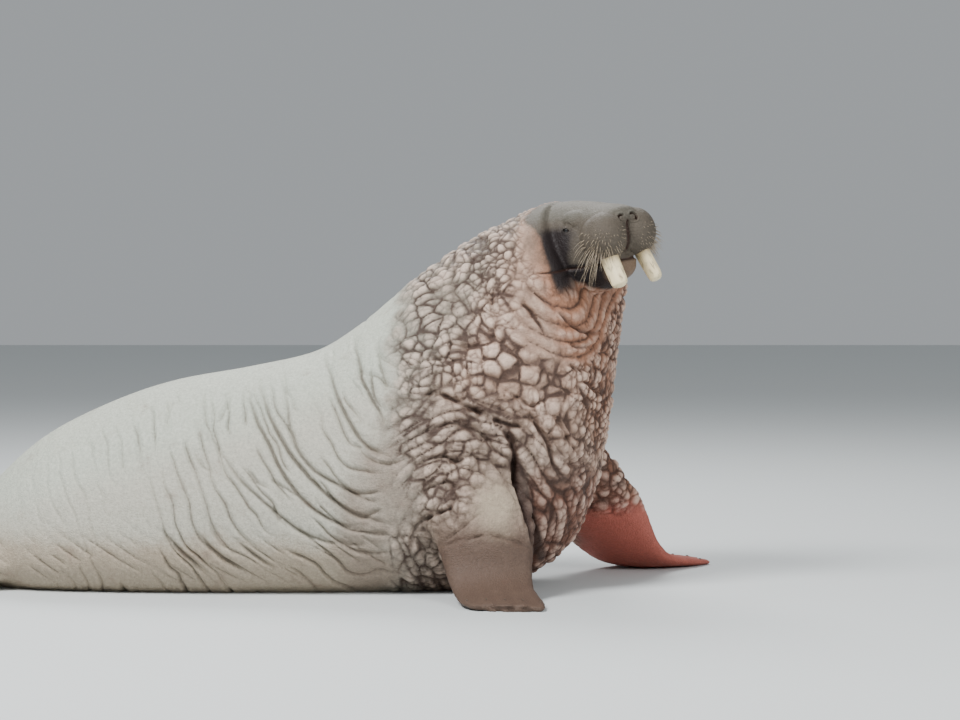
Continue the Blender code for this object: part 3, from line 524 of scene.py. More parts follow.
class Reach(Enum):
    """How far a limb's tip goes past its last section, from its hind to its leading edge."""

    FORE = "fore"
    HIND = "hind"
    TAIL = "tail"

    def past(self, aside: Array, digits: int) -> Array:
        """The distance past the last section.

        Args:
            aside: the place across the tip, from -1 to 1.
            digits: how many digits the tip has.

        Returns:
            A distance for each place.
        """
        lobes = np.cos(aside * digits * math.pi)
        if self is Reach.FORE:
            return 0.045 * aside + 0.012 * lobes - 0.03 * aside**2
        if self is Reach.HIND:
            return 0.075 * aside**2 + 0.018 * lobes - 0.02
        return 0 * aside


@dataclass
class Limb:
    """A flipper with its arm or leg: flat sections along a bent path, root to tip.

    Each section holds x, y outward, z, half width and half thickness. root_way and tip_way point
    from the hind edge to the leading edge. The hand starts at a share of the limb's length, and
    each digit is raised by digit_ridge of the thickness."""

    name: str
    side: int
    sections: tuple[Row, ...]
    root_way: Row
    tip_way: Row
    reach: Reach
    digits: int = 5
    steps: int = 80
    around: int = 80
    hand_start: float = 0.55
    digit_ridge: float = 0.25

    def path(self) -> Array:
        """The sections along the limb, on its own side."""
        rows = spline(self.sections, self.steps)
        rows[:, 1] *= self.side
        return rows

    def build(self) -> list[bpy.types.Object]:
        """The limb as one closed form."""
        rows = self.path()
        ways = np.gradient(rows[:, :3], axis=0)
        ways /= np.linalg.norm(ways, axis=1)[:, None]
        aside, up = outline(2.0, 0.0, self.around)
        rings = []
        for i, (row, way) in enumerate(zip(rows, ways)):
            share = i / (len(rows) - 1)
            hand = np.clip((share - self.hand_start) / (1 - self.hand_start), 0, 1)
            across = np.array(self.root_way) * (1 - share) + np.array(self.tip_way) * share
            across -= way * (across @ way)
            across /= np.linalg.norm(across)
            ridge = 1 + self.digit_ridge * hand * np.cos(aside * self.digits * math.pi)
            points = row[:3] + np.outer(aside * row[3], across)
            points += np.outer(up * ridge * row[4], np.cross(way, across))
            past = self.reach.past(aside, self.digits) * hand**1.5
            rings.append(points + np.outer(past, way))
        return [loft(self.name, np.array(rings))]


FORE_RIGHT = Limb(
    name="fore_right",
    side=-1,
    sections=(
        (-0.22, 0.14, 0.66, 0.24, 0.14),
        (-0.16, 0.30, 0.52, 0.225, 0.13),
        (-0.10, 0.415, 0.37, 0.205, 0.105),
        (-0.06, 0.485, 0.23, 0.188, 0.080),
        (-0.045, 0.54, 0.115, 0.170, 0.058),
        (-0.03, 0.615, 0.052, 0.160, 0.042),
        (-0.01, 0.715, 0.028, 0.160, 0.030),
        (0.01, 0.825, 0.018, 0.160, 0.022),
        (0.03, 0.925, 0.010, 0.145, 0.014),
    ),
    root_way=(1, 0, 0.1),
    tip_way=(1, 0.2, 0),
    reach=Reach.FORE,
)
FORE_LEFT = Limb(
    name="fore_left",
    side=1,
    sections=(
        (0.08, 0.12, 0.64, 0.22, 0.14),
        (0.22, 0.25, 0.48, 0.20, 0.12),
        (0.35, 0.355, 0.33, 0.19, 0.10),
        (0.445, 0.425, 0.20, 0.180, 0.076),
        (0.51, 0.485, 0.105, 0.168, 0.057),
        (0.575, 0.555, 0.050, 0.160, 0.042),
        (0.645, 0.635, 0.028, 0.160, 0.030),
        (0.72, 0.72, 0.018, 0.160, 0.022),
        (0.785, 0.795, 0.010, 0.145, 0.014),
    ),
    root_way=(1, 0, 0.1),
    tip_way=(0.7, -0.7, 0),
    reach=Reach.FORE,
)
HIND_SECTIONS = (
    (-1.80, 0.13, 0.17, 0.11, 0.11),
    (-1.96, 0.18, 0.115, 0.092, 0.080),
    (-2.10, 0.235, 0.062, 0.082, 0.052),
    (-2.23, 0.29, 0.036, 0.120, 0.036),
    (-2.35, 0.34, 0.022, 0.160, 0.026),
    (-2.46, 0.385, 0.012, 0.190, 0.016),
)
HIND_RIGHT = Limb("hind_right", -1, HIND_SECTIONS, (0.1, -1, 0), (0.4, -1, 0), Reach.HIND)
HIND_LEFT = Limb("hind_left", 1, HIND_SECTIONS, (0.1, 1, 0), (0.4, 1, 0), Reach.HIND)
TAIL = Limb(
    name="tail",
    side=1,
    sections=(
        (-2.00, 0.0, 0.17, 0.08, 0.08),
        (-2.11, 0.0, 0.11, 0.065, 0.05),
        (-2.20, 0.0, 0.065, 0.052, 0.032),
        (-2.27, 0.0, 0.04, 0.028, 0.018),
    ),
    root_way=(0, 1, 0),
    tip_way=(0, 1, 0),
    reach=Reach.TAIL,
)


# The relief of the hide


@dataclass(frozen=True)
class LongFold:
    """One long fold on the side of the body: its depth, half width, and points as x and z.

    FOLD_ROWS holds the same for each fold, in millimetres and then in centimetres."""

    depth: float
    wide: float
    route: tuple[Row, ...]


FOLD_ROWS = (
    (20, 9, (-110, 57), (-99, 44), (-88, 34), (-72, 23), (-62, 21)),
    (26, 9, (-100, 80), (-93, 65), (-82, 45), (-68, 31), (-54, 27)),
    (28, 9, (-96, 83), (-87, 65), (-76, 49), (-64, 37), (-43, 28)),
    (22, 9, (-86, 87), (-81, 64), (-72, 49), (-56, 40), (-48, 37)),
    (24, 9, (-70, 92), (-62, 74), (-52, 60), (-42, 54)),
    (26, 9, (-58, 100), (-54, 84), (-48, 74), (-44, 66)),
    (22, 8, (-51, 90), (-50, 80), (-45, 72)),
    (20, 8, (-49, 98), (-46, 87), (-44, 80)),
    (18, 8, (-56, 60), (-50, 54), (-42, 52), (-34, 55)),
    (14, 8, (-117, 79), (-115, 69), (-111, 60), (-108, 54)),
    (12, 8, (-106, 76), (-108, 71), (-110, 66)),
    (12, 8, (-119, 57), (-116, 51), (-112, 49)),
    (14, 8, (-98, 51), (-94, 45), (-89, 42)),
    (16, 8, (-90, 47), (-84, 43), (-76, 38), (-70, 32)),
    (22, 10, (-131, 25), (-124, 17), (-115, 10)),
    (22, 10, (-117, 24), (-109, 16), (-100, 9)),
    (18, 10, (-103, 22), (-96, 16), (-88, 11)),
    (14, 8, (-114, 30), (-110, 23), (-106, 18)),
    (14, 9, (-64, 24), (-59, 21), (-52, 21)),
    (36, 11, (-33, 79), (-23, 79), (-13, 74), (4, 67), (10, 68)),
    (48, 12, (-1, 67), (5, 59), (6, 47), (10, 34), (14, 20)),
    (28, 9, (10, 74), (14, 66), (19, 59), (21, 50)),
    (28, 9, (0, 119), (10, 113), (16, 105), (20, 97)),
    (28, 9, (11, 120), (23, 110), (32, 103), (40, 103)),
    (22, 8, (15, 109), (24, 102), (30, 97), (38, 98)),
    (18, 8, (-5, 120), (-2, 113), (0, 107)),
    (18, 8, (-2, 83), (6, 78), (11, 75), (18, 77)),
    (18, 8, (24, 91), (30, 88), (37, 87)),
    (18, 8, (31, 84), (36, 80), (43, 79)),
    (18, 8, (-22, 98), (-15, 97), (-8, 96)),
    (18, 8, (-35, 90), (-25, 92), (-17, 91), (-10, 88)),
    (22, 8, (19, 72), (24, 66), (29, 56)),
    (20, 8, (37, 63), (33, 56), (28, 51), (23, 52)),
    (24, 8, (-32, 63), (-20, 68), (-9, 64), (-2, 58), (4, 54)),
    (24, 8, (-32, 53), (-23, 55), (-17, 53), (-11, 55), (4, 49)),
    (20, 8, (-33, 38), (-23, 45), (-14, 42), (-5, 44)),
    (26, 9, (-34, 19), (-33, 28), (-25, 33), (-19, 36), (-18, 43)),
    (16, 7, (-23, 22), (-15, 28), (-10, 32), (-5, 34)),
    (14, 7, (-25, 20), (-16, 23), (-5, 25), (4, 23), (11, 20)),
)
LONG_FOLDS = tuple(
    LongFold(depth / 1000, wide / 1000, tuple((x / 100, z / 100) for x, z in route))
    for depth, wide, *route in FOLD_ROWS
)


@dataclass
class Ground:
    """What the relief is grown on: places on the flesh, with noise and the main areas there."""

    points: Array
    normals: Array
    wander: Array
    ripple: Array
    front: Array
    head: Array
    low: Array
    hand: Array
    throat: Array

    @property
    def bossed(self) -> Array:
        """Where the hide has bosses: in front, apart from the head and the hands."""
        return self.front * (1 - self.head) * (1 - 0.9 * self.hand)

    @property
    def rear(self) -> Array:
        """The smoother hide behind the shoulders."""
        return (1 - self.front) * (1 - self.head)


@dataclass
class Relief:
    """How the hide stands out from the flesh: bosses, creases and folds, apart from the face.

    It also says where each kind of skin lies, and where painted highlight and painted shade lie, as
    fields between 0 and 1 for the finish. The bosses are drawn out along throat_way round
    throat_at, and draped round shoulder_at. The rear folds are rings round fold_at."""

    head: HeadFrame
    boss_height: float = 0.021
    coarse_size: float = 0.064
    fine_size: float = 0.037
    shoulder_at: Row = (-0.16, 0.24)
    throat_at: Row = (0.20, 0.0, 1.10)
    throat_way: Row = (0.68, 0.0, -0.73)
    fold_at: Row = (-0.36, 1.0)
    fold_apart: float = 0.062
    slant_apart: float = 0.085
    collar_apart: float = 0.034
    drape_size: float = 0.085
    noise: Noise = field(default_factory=lambda: Noise(SEED))

    def long_folds(self, points: Array) -> Array:
        """How deep the long folds on each side cut into the hide."""
        depth = np.zeros(len(points))
        flat = points[:, [0, 2]]
        for fold in LONG_FOLDS:
            route = spline(fold.route, 40)
            margin = 4 * fold.wide
            low, high = route.min(axis=0) - margin, route.max(axis=0) + margin
            close = np.flatnonzero(((flat > low) & (flat < high)).all(axis=1))
            best, along, _ = nearest(flat[close], route)
            fade = np.sqrt(np.clip(np.sin(np.clip(along, 0.02, 0.98) * math.pi), 0, 1))
            lips = bell(best - 2.2 * fold.wide, fold.wide)
            valley = np.exp(-((best / fold.wide) ** 1.5)) - 0.35 * lips
            depth[close] = np.maximum(depth[close], fold.depth * fade * valley)
        return depth

    def ground(self, points: Array, normals: Array) -> Ground:
        """Lays out noise and the main areas over the flesh.

        Args:
            points: places on the flesh.
            normals: the flesh's normals there.

        Returns:
            What the bosses and folds are grown on.
        """
        x, y, z = points.T
        smooth = self.noise.smooth
        wander = np.stack([smooth(points + shift, 0.16) for shift in (0, 3.3, 7.1)], axis=1)
        ripple = np.stack([smooth(points + shift, 0.045) for shift in (50, 53, 57)], axis=1)
        start = -0.50 - 0.07 * wander[:, 0] - 0.03 * ripple[:, 0]
        low = 1 - ramp(z, 0.16, 0.42)
        right = low * ramp(np.abs(y), 0.36, 0.56) * ramp(x, -0.42, -0.28)
        left = (1 - ramp(z, 0.20, 0.36)) * ramp(y, 0.24, 0.32) * ramp(x, 0.26, 0.38)
        return Ground(
            points=points,
            normals=normals,
            wander=wander,
            ripple=ripple,
            front=ramp(x, start, start + 0.20),
            head=ramp(self.head.share(points), -0.04, 0.03) * ramp(z, 1.0, 1.15),
            low=low,
            hand=np.maximum(right, left),
            throat=ramp(x + 0.35 * (z - 0.9), 0.16, 0.36),
        )

    def bosses(self, at: Ground) -> tuple[Array, Array, Array, Array]:
        """The bosses of neck, chest and shoulders, with the creases that part them.

        Args:
            at: what they are grown on.

        Returns:
            Their height, how near a crease each place is, how far it belongs to the drapes over
            an arm's root, and how far to the bald patch on the right arm.
        """
        noise, points, wander = self.noise, at.points, at.wander
        x, y, z = points.T
        stretch = bell(x - self.throat_at[0], 0.20) * bell(z - self.throat_at[2], 0.20)
        along = ((points - self.throat_at) @ self.throat_way) * 0.5 * stretch
        loose = points + 0.022 * wander + 0.011 * at.ripple - np.outer(along, self.throat_way)
        coarse, coarse_crease = noise.pillows(loose, self.coarse_size, 0.15)
        fine, fine_crease = noise.pillows(loose[:, [1, 2, 0]] + 5, self.fine_size, 0.20)
        mix = np.clip(0.5 + 0.6 * noise.smooth(points + 11, 0.22) + 0.35 * at.throat, 0, 1)
        uneven = 1 + 0.3 * noise.smooth(points + 60, 0.075)
        parted = 0.62 + 0.38 * ramp(noise.smooth(points + 80, 0.055), -0.5, 0.2)
        coarse = 0.8 + (coarse - 0.8) * parted
        bosses = (coarse * (0.95 - 0.45 * mix) + fine * (0.25 + 0.55 * mix)) * uneven - 0.55
        crease = np.maximum(coarse_crease * parted, fine_crease * (0.35 + 0.5 * mix))

        out = np.hypot(x - self.shoulder_at[0], (z - self.shoulder_at[1]) * 0.9)
        turn = np.arctan2(z - self.shoulder_at[1], x - self.shoulder_at[0])
        polar = np.stack([out * 2.1, turn * 0.22, np.sign(y) + 0.05 * y], axis=1) + 0.05 * wander
        draped, draped_crease = noise.pillows(polar, self.drape_size, 0.14)
        draped_crease = np.maximum(draped_crease, 0.5 * fine_crease)
        arm = (1 - ramp(out, 0.38, 0.62)) * ramp(np.abs(at.normals[:, 1]), 0.25, 0.6) * 0.8
        bosses = bosses * (1 - arm) + (0.9 * draped + 0.35 * fine - 0.65) * arm
        crease = crease * (1 - arm) + draped_crease * arm
        # the patch is a smooth stretch of the right arm, painted paler partly as its own tone and
        # partly as a painted wet highlight
        patch = bell(x + 0.02, 0.10) * bell(z - 0.36, 0.11) * (y < -0.3)
        bosses *= 1 - 0.85 * patch
        crease *= 1 - 0.9 * patch

        collar = self.head.share(points) + 0.012 * wander[:, 2]
        wave = np.abs(np.sin(math.pi * collar / self.collar_apart))
        on_collar = between(collar, -0.14, -0.03, 0.03) * ramp(x, 0.0, 0.15)
        bosses = bosses * (1 - 0.6 * on_collar) + 0.5 * on_collar * (wave - 0.5)
        crease = np.maximum(crease * (1 - 0.6 * on_collar), on_collar * bell(wave, 0.22) * 0.8)
        return bosses, crease, arm, patch

    def rear_folds(self, at: Ground) -> tuple[Array, Array]:
        """The folds across the flank, and the slanting ones below them.

        Args:
            at: what they are grown on.

        Returns:
            How far the hide stands out in them, and how much painted shade lies in their creases.
        """
        noise, points, wander = self.noise, at.points, at.wander
        x, _, z = points.T
        ring = np.hypot(x - self.fold_at[0], (z - self.fold_at[1]) / 1.25) + 0.03 * wander[:, 1]
        ring += 0.012 * noise.smooth(points + 20, 0.07)
        wave = np.abs(np.sin(math.pi * ring / self.fold_apart))
        folds = np.exp(-((wave / 0.24) ** 1.4)) - 0.22 * bell(wave - 0.62, 0.25)
        some = ramp(noise.smooth(points * (1, 1, 0.5) + 31, 0.12), -0.35, 0.35)
        flank = at.rear * ramp(x, -2.1, -1.25) * (1 - ramp(at.normals[:, 2], 0.55, 0.97))
        slant = np.abs(np.sin(math.pi * (z * 1.5 + x + 0.03 * wander[:, 0]) / self.slant_apart))
        slant = np.exp(-slant / 0.22)
        under = at.rear * bell(z - 0.14, 0.12) * ramp(noise.smooth(points + 47, 0.11), -0.1, 0.5)
        rise = -0.015 * folds * some * flank - 0.012 * slant * under
        # the second value is painted shade along the fold lines
        return rise, np.maximum(0.8 * np.clip(folds, 0, 1) * some * flank, 0.8 * slant * under)

    def areas(self, at: Ground) -> dict[str, Array]:
        """Where each kind of skin lies, and the painted shade in the armpit, as far as it follows
        from the place alone.
        """
        x, y, z = at.points.T
        greyish = ramp(x + 0.06 * at.wander[:, 1], -0.46, -0.10)
        # painted shade in the armpit fold just ahead of the right fore limb
        armpit_shade = bell(x - 0.05 - 0.255 * (0.57 - z), 0.028) * between(z, 0.14, 0.52, 0.08)
        above = z - 1.9 * x
        brisket = between(x, 0.05, 0.45, 0.10) * (1 - ramp(z, 0.30, 0.62)) * (y > -0.42)
        return {
            "front": np.minimum(at.front, greyish),
            "armpit_shade": armpit_shade * between(-y, 0.22, 0.60, 0.05),
            "head": at.head,
            "hand": at.hand,
            "throat": at.throat * (1 - ramp(above, 0.95, 1.5)),
            "nape": at.front * (1 - at.head) * ramp(above, 0.95, 1.7),
            "brisket": brisket * (1 - at.low * (y > 0.3)),
            "red": ramp(x, 0.25, 0.40) * ramp(y, 0.18, 0.32) * (1 - ramp(z, 0.22, 0.42)),
            "back": at.rear * ramp(z - 0.35 * x, 0.85, 1.15),
            "belly": at.rear * (1 - ramp(z, 0.10, 0.34)),
        }

    def body(self, points: Array, normals: Array) -> tuple[Array, dict[str, Array]]:
        """The hide of trunk, neck and limbs.

        Args:
            points: places on the flesh.
            normals: the flesh's normals there.

        Returns:
            The height of the hide, and the fields for the finish.
        """
        at = self.ground(points, normals)
        bosses, crease, arm, patch = self.bosses(at)
        rise, dark = self.rear_folds(at)
        side = ramp(np.abs(normals[:, 1]), 0.15, 0.45)
        broken = 0.45 + 0.55 * ramp(self.noise.smooth(points + 90, 0.05), -0.6, 0.2)
        moved = points + 0.008 * at.wander + 0.003 * at.ripple
        folds = self.long_folds(moved) * side * (1 - at.head)
        folds *= 1 - at.front * (1 - broken)
        bossed = at.bossed
        height = self.boss_height * bosses * bossed
        height += rise
        height -= folds
        # painted shade in the long folds, in front and behind
        front_fold_shade = np.clip(folds / 0.030, 0, 1) * at.front
        rear_fold_shade = np.clip(folds / 0.024, 0, 1) * (1 - at.front)
        return height, self.areas(at) | {
            "patch": patch,
            "arm": arm,
            # painted highlight: the tops of the bosses are painted paler, as where light falls on
            # them
            "boss_highlight": np.clip(0.5 + 0.5 * bosses * bossed, 0, 1),
            # painted shade: the creases between the bosses and the long folds in front are painted
            # dark
            "crease": np.clip(np.maximum(crease * bossed, front_fold_shade), 0, 1),
            "fold": np.clip(np.maximum(dark, rear_fold_shade), 0, 1),
        }


@dataclass
class Face:
    """The features of the head in its own frame: eyes, ears, nostrils, lips and pads."""

    eye_at: Row = (0.178, 0.1375, -0.098)
    eye_radius: float = 0.0165
    lid: float = 0.0030
    slit_long: float = 0.0160
    slit_up: float = 0.0074
    slit_down: float = 0.0056
    eye_way: Row = (0.28, 0.95, 0.12)
    nostril_at: Row = (0.372, 0.034, -0.062)
    ear_at: Row = (0.045, 0.175, -0.12)
    pad_at: Row = (0.320, 0.080, -0.130)
    mouth: tuple[Row, ...] = (
        (0.08, -0.235),
        (0.14, -0.243),
        (0.20, -0.247),
        (0.27, -0.240),
        (0.33, -0.226),
        (0.37, -0.222),
    )

    def eye_axes(self) -> tuple[Array, Array, Array]:
        """The eye's way out, the way along its slit, and the way across it, left eye."""
        out = np.array(self.eye_way) / np.linalg.norm(self.eye_way)
        along = np.array((1.0, 0.0, -0.10))
        along -= out * (along @ out)
        along /= np.linalg.norm(along)
        return out, along, np.cross(out, along) * -1

    def relief(self, own: Array) -> tuple[Array, Array]:
        """Small forms that follow the skin's own normal.

        Args:
            own: places in the head's frame.

        Returns:
            The height of the skin, and how near a crease each place is.
        """
        forward, left, up = folded(own).T
        near = ramp(forward, 0.30, 0.34)
        groove = bell(left, 0.008) * ramp(forward, 0.33, 0.36) * ramp(-up, 0.06, 0.08)
        groove *= 1 - ramp(-up, 0.19, 0.21)
        height = -0.012 * groove
        crease = groove

        aside, above = left - self.nostril_at[1] + 0.006, up - self.nostril_at[2]
        round_it = np.hypot(aside, above * 1.25)
        turn = np.arctan2(above, aside)
        slit = bell(round_it - 0.017, 0.0042) * ramp(np.cos(turn - 0.7), -0.25, 0.35) * near
        height += -0.013 * slit + 0.004 * bell(round_it - 0.008, 0.007) * near
        height += 0.0035 * bell(round_it - 0.026, 0.005) * near
        crease = np.maximum(crease, slit)

        apart = np.linalg.norm(np.stack([forward, left, up], 1) - self.ear_at, axis=1)
        height += 0.009 * bell(apart - 0.020, 0.008) - 0.014 * bell(apart, 0.0075)
        crease = np.maximum(crease, bell(apart, 0.008))

        best, _, above = nearest(np.stack([forward, up], axis=1), spline(self.mouth, 30))
        line = np.exp(-best / 0.0045) * ramp(forward, 0.08, 0.14)
        height += -0.009 * line + 0.004 * bell(above + 0.012, 0.007) * (best < 0.03)
        crease = np.maximum(crease, line)
        return height, crease

    def open_eyes(self, own: Array) -> tuple[Array, Array]:
        """Lids drawn over each eye, and the skin inside the slit sunk behind the eye.

        Args:
            own: places in the head's frame.

        Returns:
            The new places, and how near the lids' rim each is, which sets painted shade along the
            slits and folds.
        """
        out, along, across = self.eye_axes()
        rim = np.zeros(len(own))
        made = own.copy()
        for side in (1, -1):
            flip = np.array((1, side, 1))
            apart = own * flip - self.eye_at
            reach, u, v = apart @ out, apart @ along, apart @ across
            wide = np.hypot(u, v)
            here = (wide < 0.045) & (reach > -0.03)
            cover = self.eye_radius + self.lid
            dome = np.sqrt(np.clip(cover**2 - wide**2, 0, None))
            soft = 0.004
            raised = soft * np.logaddexp(reach / soft, np.where(wide < cover, dome, -0.02) / soft)
            raised = np.where(wide < 0.035, raised, reach)
            half = np.clip(1 - (u / self.slit_long) ** 2, 0, 1)
            edge = np.where(v > 0, v - self.slit_up * half, -v - self.slit_down * half)
            edge = np.where(np.abs(u) > self.slit_long, np.maximum(edge, 0.004), edge)
            ball = np.sqrt(np.clip(self.eye_radius**2 - wide**2, 0, None))
            inside = 1 - ramp(edge, -0.0012, 0.0006)
            raised = raised * (1 - inside) + (ball - 0.006) * inside
            fold = bell(wide - 0.027, 0.0045) * ramp(v, -0.012, 0.006)
            raised -= 0.0018 * fold
            moved = made + np.outer((raised - reach) * here, out * flip)
            made = np.where(here[:, None], moved, made)
            rim = np.maximum(rim, here * np.maximum(bell(edge, 0.0024), 0.3 * fold))
        return made, rim


@dataclass(frozen=True)
class Share:
    """How many triangles a region of the hide keeps."""

    region: str
    triangles: int


@dataclass
class Hide:
    """The whole skin, from the nose to the hind flippers, with its slits for the eyes.

    A soft join has a centre, a radius and how strongly it is eased. What lies lower than flat is
    laid on the floor."""

    place: HeadFrame
    face: Face
    voxel: float = 0.0058
    quick_voxel: float = 0.009
    flat: float = 0.002
    shares: tuple[Share, ...] = (
        Share("face", 42000),
        Share("front", 98000),
        Share("rear", 48000),
    )
    soft_joins: tuple[tuple[Row, float, float], ...] = (
        ((-0.12, -0.39, 0.42), 0.36, 0.9),
        ((0.30, 0.33, 0.42), 0.34, 0.9),
        ((-2.00, -0.20, 0.12), 0.20, 0.6),
        ((-2.00, 0.20, 0.12), 0.20, 0.6),
    )
    behind_cheek: Row = (0.045, 0.175, -0.16)
    mid_head: Row = (0.18, 0, -0.1)
    nodes: tuple[str, ...] = (
        "head",
        "neck",
        "chest",
        "belly",
        "rump",
        "tail",
        "fore_flipper_left",
        "fore_flipper_right",
        "hind_flipper_left",
        "hind_flipper_right",
    )

    def fused(self) -> bpy.types.Object:
        """All forms of the flesh as one skin of even faces."""
        forms = Trunk().build() + HeadForms(self.place).build()
        for limb in (FORE_RIGHT, FORE_LEFT, HIND_RIGHT, HIND_LEFT, TAIL):
            forms += limb.build()
        whole = bmesh.new()
        for form in forms:
            whole.from_mesh(form.data)
            bpy.data.objects.remove(form)
        size = self.voxel
        return modified(mesh_object("hide", whole), "REMESH", mode="VOXEL", voxel_size=size)

    def refined(self, made: bpy.types.Object) -> None:
        """Splits the faces of the head once, and those at its features once more."""
        spots = (
            (self.face.eye_at, 0.050),
            (self.face.nostril_at, 0.045),
            (self.face.ear_at, 0.036),
        )
        for level in range(3):
            points = vectors(made.data)
            own = folded(self.place.own(points))
            if level == 0:
                chosen = (self.place.share(points) > -0.01) & (points[:, 2] > 1.05)
            else:
                chosen = np.zeros(len(points), bool)
                for at, radius in spots[: 3 if level == 1 else 1]:
                    chosen |= np.linalg.norm(own - at, axis=1) < radius / level
            bm = bmesh.new()
            bm.from_mesh(made.data)
            bm.verts.ensure_lookup_table()
            edges = [e for e in bm.edges if chosen[e.verts[0].index] and chosen[e.verts[1].index]]
            bmesh.ops.subdivide_edges(bm, edges=edges, cuts=1, use_grid_fill=True)
            bm.to_mesh(made.data)
            bm.free()

    def eased(self, made: bpy.types.Object) -> None:
        """Relaxes the skin, most of all where limbs meet the trunk."""
        points = vectors(made.data)
        weight = np.full(len(points), 0.2)
        matrix = self.place.matrix()
        forward, aside, up = self.behind_cheek
        cheeks = [matrix @ Vector((forward, side * aside, up)) for side in (1, -1)]
        joins = (*self.soft_joins, *((cheek, 0.16, 0.9) for cheek in cheeks))
        for centre, radius, strength in joins:
            apart = np.linalg.norm(points - np.array(centre), axis=1)
            weight = np.maximum(weight, strength * (1 - ramp(apart, 0.35 * radius, radius)))
        points = relax(points, made.data, np.minimum(weight, 0.6), 60)
        weight = np.zeros(len(points))
        for cheek in cheeks:
            apart = np.linalg.norm(points - np.array(cheek), axis=1)
            weight = np.maximum(weight, 0.6 * (1 - ramp(apart, 0.09, 0.15)))
        put(made.data, relax(points, made.data, weight, 90))

    def wrinkled(self, made: bpy.types.Object) -> dict[str, Array]:
        """Raises the skin in its folds, opens the eyes and lays it flat where it rests.

        Args:
            made: the eased skin.

        Returns:
            The fields for the finish, one value for each vertex.
        """
        mesh = made.data
        points, normals = vectors(mesh), vectors(mesh, "normal")
        height, fields = Relief(self.place).body(points, normals)
        own = self.place.own(points)
        face_height, face_crease = self.face.relief(own)
        points = points + normals * (height + face_height)[:, None]
        opened, rim = self.face.open_eyes(self.place.own(points))
        matrix = np.array(self.place.matrix())
        near_head = np.linalg.norm(own - self.mid_head, axis=1) < 0.3
        points = np.where(near_head[:, None], opened @ matrix[:3, :3].T + matrix[:3, 3], points)
        points[:, 2] = np.maximum(points[:, 2], 0.0)
        put(mesh, points)
        forward, left, up = folded(own).T
        head = fields["head"]
        pad = np.linalg.norm(folded(own) - self.face.pad_at, axis=1)
        fields["pad"] = head * (1 - ramp(pad, 0.075, 0.125))
        fields["crown"] = head * ramp(up, -0.095, -0.02) * ramp(forward, -0.09, 0.06)
        # the cheek field is partly dark wet skin and partly painted shade behind the pads and under
        # their overhang
        behind = (1 - ramp(forward, 0.16, 0.25)) * (1 - ramp(up, -0.14, -0.06))
        jaw = 1 - ramp(up, -0.245, -0.215)
        fields["chin"] = head * jaw * ramp(forward, 0.27, 0.33)
        narrow = 1 - ramp(left + 0.2 * (up + 0.06), 0.195, 0.255)
        fields["cheek"] = head * np.maximum(behind, jaw) * narrow * (1 - fields["chin"])
        fields["head"] = head * np.maximum(narrow, 0.5)
        # painted shade along each eyelid slit and in the fold above the eye
        fields["rim"] = rim
        # painted shade in the face's creases: nostril slits, ear holes, mouth line and the groove
        # between the pads
        fields["crease"] = np.maximum(fields["crease"], face_crease * head)
        return fields

    def thinned(self, made: bpy.types.Object, fields: dict[str, Array]) -> None:
        """Collapses each region to its share of triangles, and gives the fields to what is left.

        Args:
            made: the wrinkled skin.
            fields: a value for each of its vertices.
        """
        dense = made.data.copy()
        dense.calc_loop_triangles()
        corners = np.empty(len(dense.loop_triangles) * 3, np.int32)
        dense.loop_triangles.foreach_get("vertices", corners)
        corners = corners.reshape(-1, 3)
        places = vectors(dense)
        tree = BVHTree.FromPolygons(places.tolist(), corners.tolist(), all_triangles=True)
        modified(made, "TRIANGULATE")
        for share in self.shares:
            self.collapse(made, self.region(vectors(made.data), share.region), share.triangles)
        points = vectors(made.data)
        points[:, 2] = np.where(points[:, 2] < self.flat, 0, points[:, 2])
        put(made.data, points)
        found = [tree.find_nearest(point) for point in points.tolist()]
        hit = np.array([near[0][:] for near in found])
        face = np.array([near[2] for near in found])
        a, b, c = (places[corners[face, k]] for k in range(3))
        whole = np.linalg.norm(np.cross(b - a, c - a), axis=1) + 1e-20
        facing = ((b, c), (c, a), (a, b))
        parts = [np.linalg.norm(np.cross(p - hit, q - hit), axis=1) / whole for p, q in facing]
        for name, values in fields.items():
            kept = sum(part * values[corners[face, k]] for k, part in enumerate(parts))
            made.data.attributes.new(name, "FLOAT", "POINT").data.foreach_set(
                "value", np.clip(kept, 0, 1).astype(np.float32)
            )
        bpy.data.meshes.remove(dense)

    def region(self, points: Array, name: str) -> Array:
        """Which points lie in a named region of the skin."""
        face = (self.place.share(points) > -0.02) & (points[:, 2] > 1.0)
        front = points[:, 0] > -0.55
        return {"face": face, "front": front & ~face, "rear": ~front & ~face}[name]

    def collapse(self, made: bpy.types.Object, region: Array, target: int) -> None:
        """Collapses one region to about a target number of triangles.

        Args:
            made: the skin, all triangles.
            region: which of its vertices may go.
            target: how many triangles the region keeps.
        """
        mesh = made.data
        verts = np.empty(len(mesh.loops), np.int32)
        mesh.loops.foreach_get("vertex_index", verts)
        part = int(region[verts].reshape(-1, 3).all(axis=1).sum())
        whole = len(mesh.polygons)
        if part <= target:
            return
        group = made.vertex_groups.new(name="thin")
        group.add(np.flatnonzero(region).tolist(), 1.0, "REPLACE")
        ratio = (whole - part + target) / whole
        settings = {"ratio": ratio, "vertex_group": group.name, "use_collapse_triangulate": True}
        modified(made, "DECIMATE", **settings)
        made.vertex_groups.clear()

    def build(self, finish: "HideFinish") -> bpy.types.Object:
        """The finished skin.

        Args:
            finish: what it is dressed in.

        Returns:
            The object, riding on the frame and standing for the flesh.
        """
        made = self.fused()
        self.refined(made)
        self.eased(made)
        fields = self.wrinkled(made)
        self.thinned(made, fields)
        smooth_shaded(made)
        finished(made, finish.material())
        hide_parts(*self.nodes)
        return made


